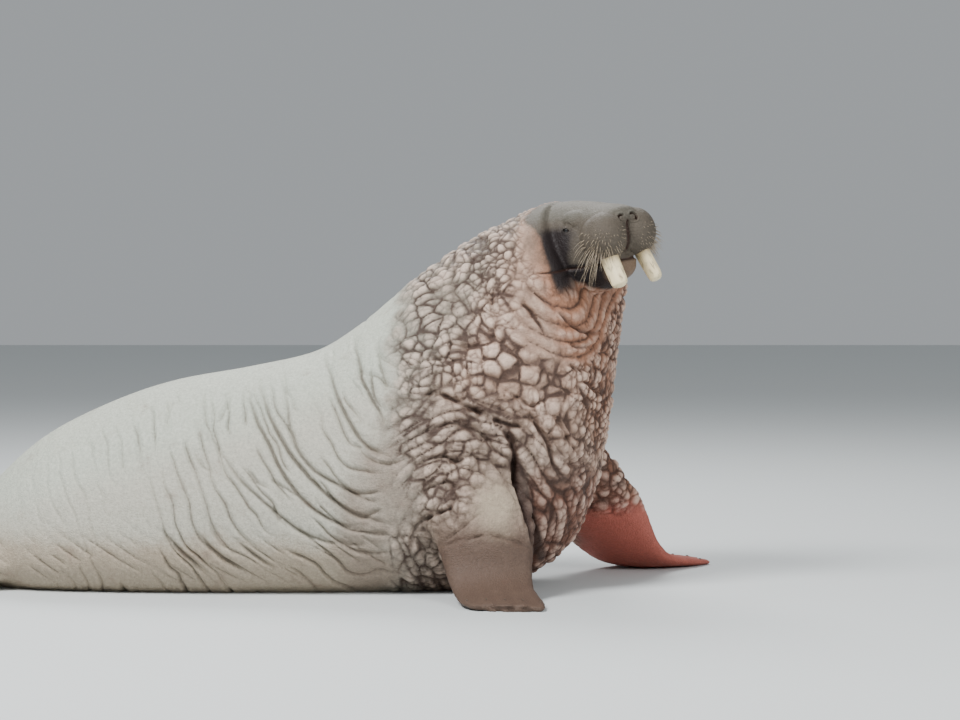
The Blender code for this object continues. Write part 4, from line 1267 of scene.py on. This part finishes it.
def finished(made: bpy.types.Object, material: bpy.types.Material) -> bpy.types.Object:
    """Gives a piece its material, moves it to the frame of the solids and sets it on its body.

    Args:
        made: the piece, laid out in the working frame.
        material: its finish.

    Returns:
        The same object.
    """
    made.data.materials.clear()
    made.data.materials.append(material)
    made.data.transform(Matrix.Translation(-ORIGIN))
    made.data.update()
    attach(made, "root")
    return made


# Finishes


@dataclass(frozen=True)
class Marking:
    """A colour that lies over the hide where a field says, between two levels of the field."""

    area: str
    colour: str
    low: float = 0.0
    high: float = 1.0
    most: float = 1.0


@dataclass(frozen=True)
class HideFinish:
    """Thick walrus hide, nearly bare: a matt, chalky skin with painted highlight on the bosses and
    painted shade in the creases, folds, armpit, eyelid slits and under the pads, with a fine net of
    wrinkles that catches the light.

    The markings lie over each other in order, and those that aren't sharp have patchy edges."""

    base: str = "#b0ada0"
    roughness: float = 0.62
    fleck_size: float = 0.006
    wrinkle_size: float = 0.011
    # the sharp fields are painted highlight on the bosses and painted shade in creases, folds,
    # armpit and eyelid slits
    sharp: tuple[str, ...] = ("boss_highlight", "crease", "fold", "armpit_shade", "rim")
    markings: tuple[Marking, ...] = (
        Marking("back", "#b4b8ab", 0.0, 1.0),
        Marking("belly", "#a0907c", 0.1, 1.0, 0.8),
        # painted shade in the folds of the rear
        Marking("fold", "#645c50", 0.15, 0.9, 0.8),
        Marking("front", "#a38674", 0.0, 1.0),
        Marking("nape", "#857f72", 0.05, 0.75, 0.85),
        Marking("throat", "#95664c", 0.2, 0.9, 0.85),
        Marking("arm", "#85776a", 0.1, 0.9, 0.8),
        Marking("brisket", "#70402e", 0.1, 0.9, 0.85),
        # dark brown on the lower flippers: partly their own darker skin, partly painted shade low
        # on the near arm
        Marking("hand", "#57453a", 0.0, 1.0),
        Marking("red", "#a4594c", 0.05, 0.95),
        # pale on the right arm's smooth patch: partly its own tone, partly painted wet highlight
        Marking("patch", "#a39480", 0.1, 1.0, 0.9),
        Marking("head", "#4f473d", 0.2, 0.8),
        Marking("crown", "#57534a", 0.1, 0.9),
        Marking("pad", "#50483e", 0.1, 0.9),
        # near-black on the lower sides of the face: dark wet skin with painted shade under the pads
        Marking("cheek", "#170d0d", 0.05, 0.7),
        Marking("chin", "#6b5848", 0.1, 0.8),
        # painted highlight on the tops of the bosses
        Marking("boss_highlight", "#e0c6b5", 0.55, 0.9, 0.6),
        # painted shade in the creases
        Marking("crease", "#341f16", 0.1, 0.8, 0.9),
        # painted shade in the armpit
        Marking("armpit_shade", "#2c1911", 0.2, 0.9, 0.85),
        # painted shade in the eyelid slits
        Marking("rim", "#1a1310", 0.2, 0.9, 0.85),
    )

    def material(self) -> bpy.types.Material:
        """The hide's material."""
        surface = {"Roughness": self.roughness, "Metallic": 0.0, "Specular IOR Level": 0.35}
        made, tree, place = new_material("walrus hide", surface)
        patchy, fleck = (
            add_node(
                tree,
                "ShaderNodeTexNoise",
                {"Vector": place, "Scale": scale, "Detail": detail, "Roughness": rough},
            ).outputs["Fac"]
            for scale, detail, rough in ((9.0, 5.0, 0.6), (0.5 / self.fleck_size, 3.0, 0.65))
        )
        shift, tint = (
            add_node(
                tree,
                "ShaderNodeMapRange",
                {"Value": value, "From Min": 0.3, "From Max": 0.7, "To Min": low, "To Max": high},
            ).outputs["Result"]
            for value, low, high in ((patchy, -0.16, 0.16), (fleck, 0.82, 1.14))
        )
        colour: Socket | tuple = linear(self.base)
        for marking in self.markings:
            field_node = add_node(
                tree, "ShaderNodeAttribute", attribute_type="GEOMETRY", attribute_name=marking.area
            )
            value = field_node.outputs["Fac"]
            if marking.area not in self.sharp:
                value = add_node(tree, "ShaderNodeMath", {0: value, 1: shift}).outputs["Value"]
            levels = {"From Min": marking.low, "From Max": marking.high, "To Max": marking.most}
            mask = add_node(
                tree,
                "ShaderNodeMapRange",
                {"Value": value, **levels},
                interpolation_type="SMOOTHSTEP",
            ).outputs["Result"]
            inputs = {0: mask, 6: colour, 7: linear(marking.colour)}
            colour = add_node(tree, "ShaderNodeMix", inputs, data_type="RGBA").outputs[2]
        colour = add_node(
            tree,
            "ShaderNodeMix",
            {0: 1.0, 6: colour, 7: tint},
            data_type="RGBA",
            blend_type="MULTIPLY",
        ).outputs[2]
        net = add_node(
            tree,
            "ShaderNodeTexVoronoi",
            {"Vector": place, "Scale": 1 / self.wrinkle_size, "Randomness": 0.9},
            feature="DISTANCE_TO_EDGE",
        ).outputs["Distance"]
        net = add_node(tree, "ShaderNodeMapRange", {"Value": net, "From Max": 0.22})
        inputs = {0: fleck, 1: 0.8, 2: net.outputs["Result"]}
        rough = add_node(tree, "ShaderNodeMath", inputs, operation="MULTIPLY_ADD").outputs["Value"]
        inputs = {"Height": rough, "Strength": 0.5, "Distance": 0.0025}
        bump = add_node(tree, "ShaderNodeBump", inputs).outputs["Normal"]
        link_surface(tree, {"Base Color": colour, "Normal": bump})
        return made


@dataclass(frozen=True)
class IvoryFinish:
    """Worn tusk ivory: warm cream with fine dark cracks along it, stained at the root."""

    base: str = "#eddcb2"
    stain: str = "#a98d62"
    crack: str = "#6b5a42"
    roughness: float = 0.42

    def material(self, way: Matrix) -> bpy.types.Material:
        """The tusk's material.

        Args:
            way: turns a place of the solids' frame into the tusk's own, its length along Z.

        Returns:
            The material.
        """
        surface = {"Roughness": self.roughness, "Metallic": 0.0, "IOR": 1.54}
        made, tree, place = new_material("tusk ivory", surface)
        inputs = {"Vector": place, "Location": way.to_translation(), "Rotation": way.to_euler()}
        own = add_node(tree, "ShaderNodeMapping", inputs).outputs["Vector"]
        inputs = {"Vector": own, "Scale": (1.0, 1.0, 0.12)}
        long = add_node(tree, "ShaderNodeMapping", inputs).outputs["Vector"]
        inputs = {"Vector": long, "Scale": 70.0}
        cracks = add_node(tree, "ShaderNodeTexVoronoi", inputs, feature="DISTANCE_TO_EDGE")
        inputs = {"Vector": own, "Scale": 22.0, "Detail": 4.0}
        cloud = add_node(tree, "ShaderNodeTexNoise", inputs)
        down = add_node(tree, "ShaderNodeSeparateXYZ", {0: own})
        cracks, some, root = (
            add_node(
                tree,
                "ShaderNodeMapRange",
                {"Value": value, "From Min": low, "From Max": high, "To Min": start, "To Max": end},
            ).outputs["Result"]
            for value, low, high, start, end in (
                (cracks.outputs["Distance"], 0.0, 0.09, 0.85, 0.0),
                (cloud.outputs["Fac"], 0.42, 0.58, 0.0, 1.0),
                (down.outputs["Z"], -0.09, -0.045, 0.0, 0.75),
            )
        )
        inputs = {0: cracks, 1: some}
        cracks = add_node(tree, "ShaderNodeMath", inputs, operation="MULTIPLY").outputs["Value"]
        colour: Socket | tuple = linear(self.base)
        for mask, code in ((root, self.stain), (cracks, self.crack)):
            inputs = {0: mask, 6: colour, 7: linear(code)}
            colour = add_node(tree, "ShaderNodeMix", inputs, data_type="RGBA").outputs[2]
        inputs = {"Height": cracks, "Strength": 0.6, "Distance": 0.001}
        bump = add_node(tree, "ShaderNodeBump", inputs, invert=True).outputs["Normal"]
        link_surface(tree, {"Base Color": colour, "Normal": bump})
        return made


@dataclass(frozen=True)
class EyeFinish:
    """A wet eye: almost black brown, reddish towards the lids, under a clear glossy film."""

    pupil: str = "#070505"
    iris: str = "#24150f"
    white: str = "#5b3a30"

    def material(self, name: str, centre: Vector, out: Vector, radius: float) -> bpy.types.Material:
        """The eye's material.

        Args:
            name: which eye it is for.
            centre: the eye's middle in the frame of the solids.
            out: the way that it looks.
            radius: its radius.

        Returns:
            The material.
        """
        surface = {
            "Roughness": 0.12,
            "Metallic": 0.0,
            "IOR": 1.38,
            "Coat Weight": 1.0,
            "Coat Roughness": 0.03,
        }
        made, tree, place = new_material(name, surface)
        apart = add_node(tree, "ShaderNodeVectorMath", {0: place, 1: centre}, operation="SUBTRACT")
        inputs = {0: apart.outputs["Vector"], 1: out / radius}
        facing = add_node(tree, "ShaderNodeVectorMath", inputs, operation="DOT_PRODUCT")
        colour: Socket | tuple = linear(self.white)
        for code, low, high in ((self.iris, 0.55, 0.70), (self.pupil, 0.86, 0.92)):
            inputs = {"Value": facing.outputs["Value"], "From Min": low, "From Max": high}
            mask = add_node(tree, "ShaderNodeMapRange", inputs).outputs["Result"]
            inputs = {0: mask, 6: colour, 7: linear(code)}
            colour = add_node(tree, "ShaderNodeMix", inputs, data_type="RGBA").outputs[2]
        link_surface(tree, {"Base Color": colour})
        return made


@dataclass(frozen=True)
class HornFinish:
    """Keratin of whiskers and claws: one colour streaked with a second by noise."""

    name: str
    base: str
    dark: str
    scale: float
    roughness: float = 0.38

    def material(self) -> bpy.types.Material:
        """The horn's material."""
        surface = {"Roughness": self.roughness, "Metallic": 0.0, "IOR": 1.54}
        made, tree, place = new_material(self.name, surface)
        inputs = {"Vector": place, "Scale": self.scale, "Detail": 3.0}
        streak = add_node(tree, "ShaderNodeTexNoise", inputs).outputs["Fac"]
        inputs = {"Value": streak, "From Min": 0.35, "From Max": 0.65}
        mask = add_node(tree, "ShaderNodeMapRange", inputs).outputs["Result"]
        inputs = {0: mask, 6: linear(self.base), 7: linear(self.dark)}
        colour = add_node(tree, "ShaderNodeMix", inputs, data_type="RGBA").outputs[2]
        link_surface(tree, {"Base Color": colour})
        return made


# Hard parts


@dataclass
class Tusk:
    """One worn tusk, oval in section, from inside its whisker pad to its blunt tip."""

    place: HeadFrame
    side: int
    base: Row = (0.325, 0.084, -0.165)
    forward: float = 28.0
    splay: float = 5.0
    toe: float = 20.0
    length: float = 0.178
    wide: float = 0.038
    thin: float = 0.029
    bow: float = 0.006
    around: int = 40
    rings: int = 44
    form: tuple[Row, ...] = (
        (0.0, 0.90),
        (0.2, 0.98),
        (0.45, 1.0),
        (0.7, 0.97),
        (0.88, 0.93),
        (0.96, 0.83),
        (1.0, 0.55),
    )

    def matrix(self) -> Matrix:
        """The tusk's own frame in the working frame: its length runs down from its root."""
        splay = Matrix.Rotation(math.radians(self.side * self.splay), 4, "X")
        swing = Matrix.Rotation(math.radians(-self.forward), 4, "Y")
        toe = Matrix.Rotation(math.radians(-self.side * self.toe), 4, "Z")
        root = Matrix.Translation((self.base[0], self.side * self.base[1], self.base[2]))
        return self.place.matrix() @ root @ swing @ splay @ toe

    def build(self, finish: IvoryFinish) -> bpy.types.Object:
        """The tusk, with shallow flutes along it and a worn, uneven tip.

        Args:
            finish: what it is dressed in.

        Returns:
            The object, standing for its solid.
        """
        name = side_name(self.side)
        matrix = self.matrix()
        noise = Noise(SEED + self.side)
        rings = []
        for along, size in spline(self.form, self.rings):
            angle = np.linspace(0, math.tau, self.around, endpoint=False)
            flute = 1 + 0.012 * np.sin(angle * 7 + self.side) * ramp(along, 0.3, 0.5)
            worn = 1 - 0.10 * ramp(along, 0.86, 1.0) * (0.5 + 0.5 * np.cos(angle - 1.1))
            ring = np.stack(
                [
                    np.cos(angle) * self.wide * size * flute * worn + self.bow * along**2,
                    np.sin(angle) * self.thin * size * flute * worn,
                    np.full(self.around, -along * self.length),
                ],
                axis=1,
            )
            ring[:, 2] += 0.004 * ramp(along, 0.9, 1.0) * noise.smooth(ring, 0.02)
            rings.append([matrix @ Vector(point) for point in ring])
        made = loft(f"tusk_{name}_ivory", rings)
        smooth_shaded(made)
        inverse = (Matrix.Translation(-ORIGIN) @ matrix).inverted()
        finished(made, finish.material(inverse))
        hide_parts(f"tusk_{name}")
        return made


@dataclass
class Eye:
    """One eyeball behind its lids."""

    place: HeadFrame
    face: Face
    side: int

    def build(self, finish: EyeFinish) -> bpy.types.Object:
        """The eye, with a slight cornea.

        Args:
            finish: what it is dressed in.

        Returns:
            The object, standing for its solid.
        """
        name = side_name(self.side)
        at = self.face.eye_at
        matrix = self.place.matrix()
        centre = matrix @ Vector((at[0], self.side * at[1], at[2]))
        out = self.face.eye_axes()[0] * (1, self.side, 1)
        out = (matrix.to_3x3() @ Vector(out)).normalized()
        bm = bmesh.new()
        bmesh.ops.create_uvsphere(bm, u_segments=40, v_segments=28, radius=self.face.eye_radius)
        turn = out.to_track_quat("Z", "Y").to_matrix().to_4x4()
        bmesh.ops.transform(bm, matrix=Matrix.Translation(centre) @ turn, verts=bm.verts)
        for vert in bm.verts:
            facing = (vert.co - centre).normalized().dot(out)
            vert.co += out * 0.0009 * float(ramp(facing, 0.6, 1.0))
        made = mesh_object(f"eye_{name}_ball", bm)
        smooth_shaded(made)
        colours = finish.material(f"wet eye {name}", centre - ORIGIN, out, self.face.eye_radius)
        finished(made, colours)
        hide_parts(f"eye_{name}")
        return made


@dataclass
class Bristles:
    """Shafts swept along paths by Geometry Nodes, such as whiskers and claws."""

    name: str
    sides: int = 5

    def tree(self, material: bpy.types.Material) -> bpy.types.NodeTree:
        """The node tree that sweeps a tapered shaft along each path of a mesh of edges.

        Args:
            material: the shafts' finish.

        Returns:
            The tree, with an input for the shafts' width and one for their sides.
        """
        tree = bpy.data.node_groups.new(self.name, "GeometryNodeTree")
        for name, way, kind in (
            ("Paths", "INPUT", "Geometry"),
            ("Width", "INPUT", "Float"),
            ("Sides", "INPUT", "Int"),
            ("Shafts", "OUTPUT", "Geometry"),
        ):
            tree.interface.new_socket(name, in_out=way, socket_type=f"NodeSocket{kind}")
        given = add_node(tree, "NodeGroupInput").outputs
        thick = add_node(
            tree, "GeometryNodeInputNamedAttribute", {"Name": "thick"}, data_type="FLOAT"
        ).outputs["Attribute"]
        curve = add_node(tree, "GeometryNodeMeshToCurve", {"Mesh": given["Paths"]}).outputs[0]
        inputs = {"Curve": curve, "Radius": thick}
        curve = add_node(tree, "GeometryNodeSetCurveRadius", inputs).outputs[0]
        inputs = {"Resolution": given["Sides"], "Radius": given["Width"]}
        section = add_node(tree, "GeometryNodeCurvePrimitiveCircle", inputs).outputs["Curve"]
        inputs = {"Curve": curve, "Profile Curve": section, "Scale": thick, "Fill Caps": True}
        swept = add_node(tree, "GeometryNodeCurveToMesh", inputs).outputs["Mesh"]
        smooth = add_node(tree, "GeometryNodeSetShadeSmooth", {"Geometry": swept}).outputs[0]
        real = add_node(tree, "GeometryNodeRealizeInstances", {"Geometry": smooth}).outputs[0]
        inputs = {"Geometry": real, "Material": material}
        dressed = add_node(tree, "GeometryNodeSetMaterial", inputs).outputs[0]
        add_node(tree, "NodeGroupOutput", {"Shafts": dressed})
        return tree

    def swept(
        self, paths: list[list[Vector]], thick: list[Row], width: float, finish: HornFinish
    ) -> bpy.types.Object:
        """One object of all the shafts.

        Args:
            paths: the points of each shaft, root to tip, in the working frame.
            thick: the share of the width at each of those points.
            width: the radius of a shaft where its share is 1.
            finish: what the shafts are dressed in.

        Returns:
            The object.
        """
        mesh = bpy.data.meshes.new(self.name)
        points = [point for path in paths for point in path]
        edges = []
        start = 0
        for path in paths:
            edges += [(start + i, start + i + 1) for i in range(len(path) - 1)]
            start += len(path)
        mesh.from_pydata(points, edges, [])
        values = np.array([value for row in thick for value in row], np.float32)
        mesh.attributes.new("thick", "FLOAT", "POINT").data.foreach_set("value", values)
        made = bpy.data.objects.new(self.name, mesh)
        bpy.context.scene.collection.objects.link(made)
        material = finish.material()
        modifier = made.modifiers.new("shafts", "NODES")
        modifier.node_group = self.tree(material)
        names = {item.name: item.identifier for item in modifier.node_group.interface.items_tree}
        modifier[names["Width"]] = width
        modifier[names["Sides"]] = self.sides
        graph = bpy.context.evaluated_depsgraph_get()
        mesh = bpy.data.meshes.new_from_object(made.evaluated_get(graph))
        made.modifiers.remove(modifier)
        made.data = mesh
        return finished(made, material)


@dataclass
class Whiskers:
    """The stiff bristles of both pads, in rows, rooted in the hide.

    turn and tilt hold where the rows start and how far they go, in degrees out from the middle of
    the face and up. gap is what the bristles keep from the tusks, top_share how many of them grow
    in the top row, and uneven the least and most share of a bristle's length."""

    place: HeadFrame
    face: Face
    hide: bpy.types.Object
    rows: int = 11
    steps: int = 17
    length: float = 0.115
    width: float = 0.0011
    root: float = 0.005
    turn: tuple[float, float] = (-26.0, 138.0)
    tilt: tuple[float, float] = (26.0, -88.0)
    bends: int = 5
    taper: tuple[float, ...] = (1.0, 1.0, 0.85, 0.65, 0.42, 0.12)
    gap: float = 0.003
    top_share: float = 0.35
    uneven: tuple[float, float] = (0.7, 1.2)

    def build(self, finish: HornFinish) -> bpy.types.Object:
        """All whiskers as one piece."""
        tree = BVHTree.FromObject(self.hide, bpy.context.evaluated_depsgraph_get())
        rng = random.Random(SEED)
        frame_of_head = self.place.matrix()
        tusks = {side: Tusk(self.place, side) for side in (1, -1)}
        paths, thick = [], []
        for side, row, step in product((1, -1), range(self.rows), range(self.steps)):
            pad = Vector((self.face.pad_at[0], side * self.face.pad_at[1], self.face.pad_at[2]))
            low = row / (self.rows - 1)
            share = max(step + 0.5 * (row % 2) + rng.uniform(-0.15, 0.15), 0.0) / (self.steps - 0.5)
            turn = math.radians(self.turn[0] + self.turn[1] * share)
            tilt = self.tilt[0] + self.tilt[1] * low + rng.uniform(-2, 2)
            tilt = math.radians(tilt)
            long = self.length * (0.12 + 1.05 * share**1.2 * low) * rng.uniform(*self.uneven)
            if rng.random() > self.top_share + (1 - self.top_share) * low:
                continue
            level = Vector((math.cos(turn), side * math.sin(turn), 0)) * math.cos(tilt)
            out = level + Vector((0, 0, math.sin(tilt)))
            way = -(frame_of_head.to_3x3() @ out)
            hit = tree.ray_cast(frame_of_head @ (pad + out * 0.3) - ORIGIN, way, 0.3)[0]
            if hit is None:
                continue
            hit = frame_of_head.inverted() @ (hit + ORIGIN)
            droop = Vector((0.04, side * 0.22, -1)).lerp(out, 0.62 - 0.30 * share)
            droop = (droop + 0.16 * Vector([rng.uniform(-1, 1) for _ in range(3)])).normalized()
            path = [hit - out * self.root]
            for k in range(1, self.bends + 1):
                bend = (k / self.bends) ** 0.8
                path.append(path[-1] + out.lerp(droop, bend).normalized() * (long / self.bends))
            if self.clear(path, tusks[side]) and self.clear(path, tusks[-side]):
                paths.append([frame_of_head @ point for point in path])
                thick.append(self.taper)
        return Bristles("whiskers").swept(paths, thick, self.width, finish)

    def clear(self, path: list[Vector], tusk: Tusk) -> bool:
        """Whether a whisker keeps clear of a tusk."""
        inverse = tusk.matrix().inverted() @ self.place.matrix()
        for start, end in zip(path, path[1:]):
            for step in range(4):
                own = inverse @ start.lerp(end, step / 4)
                if math.hypot(own.x / (tusk.wide + self.gap), own.y / (tusk.thin + self.gap)) < 1:
                    return False
        return True


@dataclass
class Claws:
    """Small claws on the back of one flipper, each set behind the end of its digit."""

    limb: Limb
    hide: bpy.types.Object
    digits: tuple[int, ...]
    length: float = 0.020
    width: float = 0.0042
    share: float = 0.885

    def build(self, finish: HornFinish) -> bpy.types.Object:
        """The flipper's claws as one piece."""
        tree = BVHTree.FromObject(self.hide, bpy.context.evaluated_depsgraph_get())
        path = self.limb.path()
        at = int(self.share * len(path))
        end = Vector(path[at, :3])
        way = (Vector(path[at + 1, :3]) - end).normalized()
        across = Vector(self.limb.tip_way)
        across = (across - way * way.dot(across)).normalized()
        paths, thick = [], []
        for digit in self.digits:
            aside = 0.84 * (2 * digit / (self.limb.digits - 1) - 1)
            past = float(self.limb.reach.past(np.array(aside), self.limb.digits))
            above = end + across * aside * path[at, 3] + way * past
            start = above + Vector((0, 0, 0.2)) - ORIGIN
            hit = tree.ray_cast(start, Vector((0, 0, -1)), 0.4)[0]
            if hit is None:
                continue
            hit = hit + ORIGIN
            up = Vector((0, 0, self.width))
            paths.append(
                [
                    hit - way * 0.5 * self.length - up * 0.8,
                    hit - way * 0.2 * self.length + up * 0.1,
                    hit + way * 0.2 * self.length + up * 0.2,
                    hit + way * 0.5 * self.length - up * 0.1,
                ]
            )
            thick.append((0.8, 1.0, 0.7, 0.15))
        name = f"claws_{self.limb.name}"
        return Bristles(name, sides=10).swept(paths, thick, self.width, finish)


# Studio


@dataclass
class Studio:
    """A plain pale floor, soft light and the camera at the photograph's angle.

    Each lamp has a place, a power in watts and a side, and faces lit_at."""

    target: Row = (-0.08, 0.0, 0.90)
    elevation: float = 3.0
    distance: float = 14.0
    view_width: float = 3.84
    sensor: float = 36.0
    floor_side: float = 40.0
    lamps: tuple[tuple[Row, float, float], ...] = (
        ((-3.5, -4.5, 7.5), 1250.0, 3.0),
        ((5.5, -5.0, 3.5), 300.0, 3.0),
        ((0.0, 5.0, 6.5), 500.0, 3.5),
    )
    lit_at: Row = (0.2, 0.0, 0.7)

    def camera(self) -> None:
        """Sets the camera level with the animal's chest, square to its side."""
        lift = math.radians(self.elevation)
        back = Vector((0, -math.cos(lift), math.sin(lift)))
        data = bpy.data.cameras.new("camera")
        data.sensor_width = self.sensor
        data.lens = self.sensor * self.distance / self.view_width
        made = bpy.data.objects.new("camera", data)
        made.location = Vector(self.target) - ORIGIN + back * self.distance
        made.rotation_euler = (-back).to_track_quat("-Z", "Y").to_euler()
        bpy.context.scene.collection.objects.link(made)
        bpy.context.scene.camera = made

    def lamp(self, at: Row, power: float, size: float) -> None:
        """A square soft lamp that faces the animal.

        Args:
            at: where it hangs, in the frame of the solids.
            power: its power in watts.
            size: its side.
        """
        data = bpy.data.lights.new("soft lamp", "AREA")
        data.energy = power
        data.size = size
        made = bpy.data.objects.new("soft lamp", data)
        made.location = at
        away = Vector(at) - Vector(self.lit_at)
        made.rotation_euler = away.to_track_quat("Z", "Y").to_euler()
        bpy.context.scene.collection.objects.link(made)

    def floor(self) -> None:
        """A pale matt floor at the level that the animal rests on."""
        bm = bmesh.new()
        bmesh.ops.create_grid(bm, x_segments=1, y_segments=1, size=self.floor_side / 2)
        made = mesh_object("floor", bm)
        material = bpy.data.materials.new("pale floor paint")
        material.use_nodes = True
        shader = material.node_tree.nodes["Principled BSDF"]
        shader.inputs["Base Color"].default_value = linear("#c9cdcd")
        shader.inputs["Roughness"].default_value = 0.8
        made.data.materials.append(material)

    def build(self) -> None:
        """The whole studio."""
        self.camera()
        self.floor()
        for lamp in self.lamps:
            self.lamp(*lamp)
        world = bpy.data.worlds.new("studio")
        world.use_nodes = True
        sky = world.node_tree.nodes["Background"]
        sky.inputs["Color"].default_value = linear("#dfe4e8")
        sky.inputs["Strength"].default_value = 0.5
        bpy.context.scene.world = world


def main() -> None:
    """Builds each part in order."""
    logging.basicConfig(level=logging.INFO, format="%(name)s: %(message)s")
    place, face = HeadFrame(), Face()
    Studio().build()
    hide = Hide(place, face).build(HideFinish())
    LOG.info("hide: %d triangles", len(hide.data.polygons))
    for side in (1, -1):
        LOG.info("%s", Tusk(place, side).build(IvoryFinish()).name)
        LOG.info("%s", Eye(place, face, side).build(EyeFinish()).name)
    whiskers = Whiskers(place, face, hide).build(
        HornFinish("whisker keratin", "#a5967f", "#6d604f", 40.0)
    )
    LOG.info("%s: %d faces", whiskers.name, len(whiskers.data.polygons))
    horn = HornFinish("claw horn", "#3b322b", "#5d5044", 160.0, 0.35)
    for limb, digits in (
        (FORE_RIGHT, (0, 1, 2, 3, 4)),
        (FORE_LEFT, (0, 1, 2, 3, 4)),
        (HIND_RIGHT, (1, 2, 3)),
        (HIND_LEFT, (1, 2, 3)),
    ):
        LOG.info("%s", Claws(limb, hide, digits).build(horn).name)


if __name__ == "__main__":
    main()
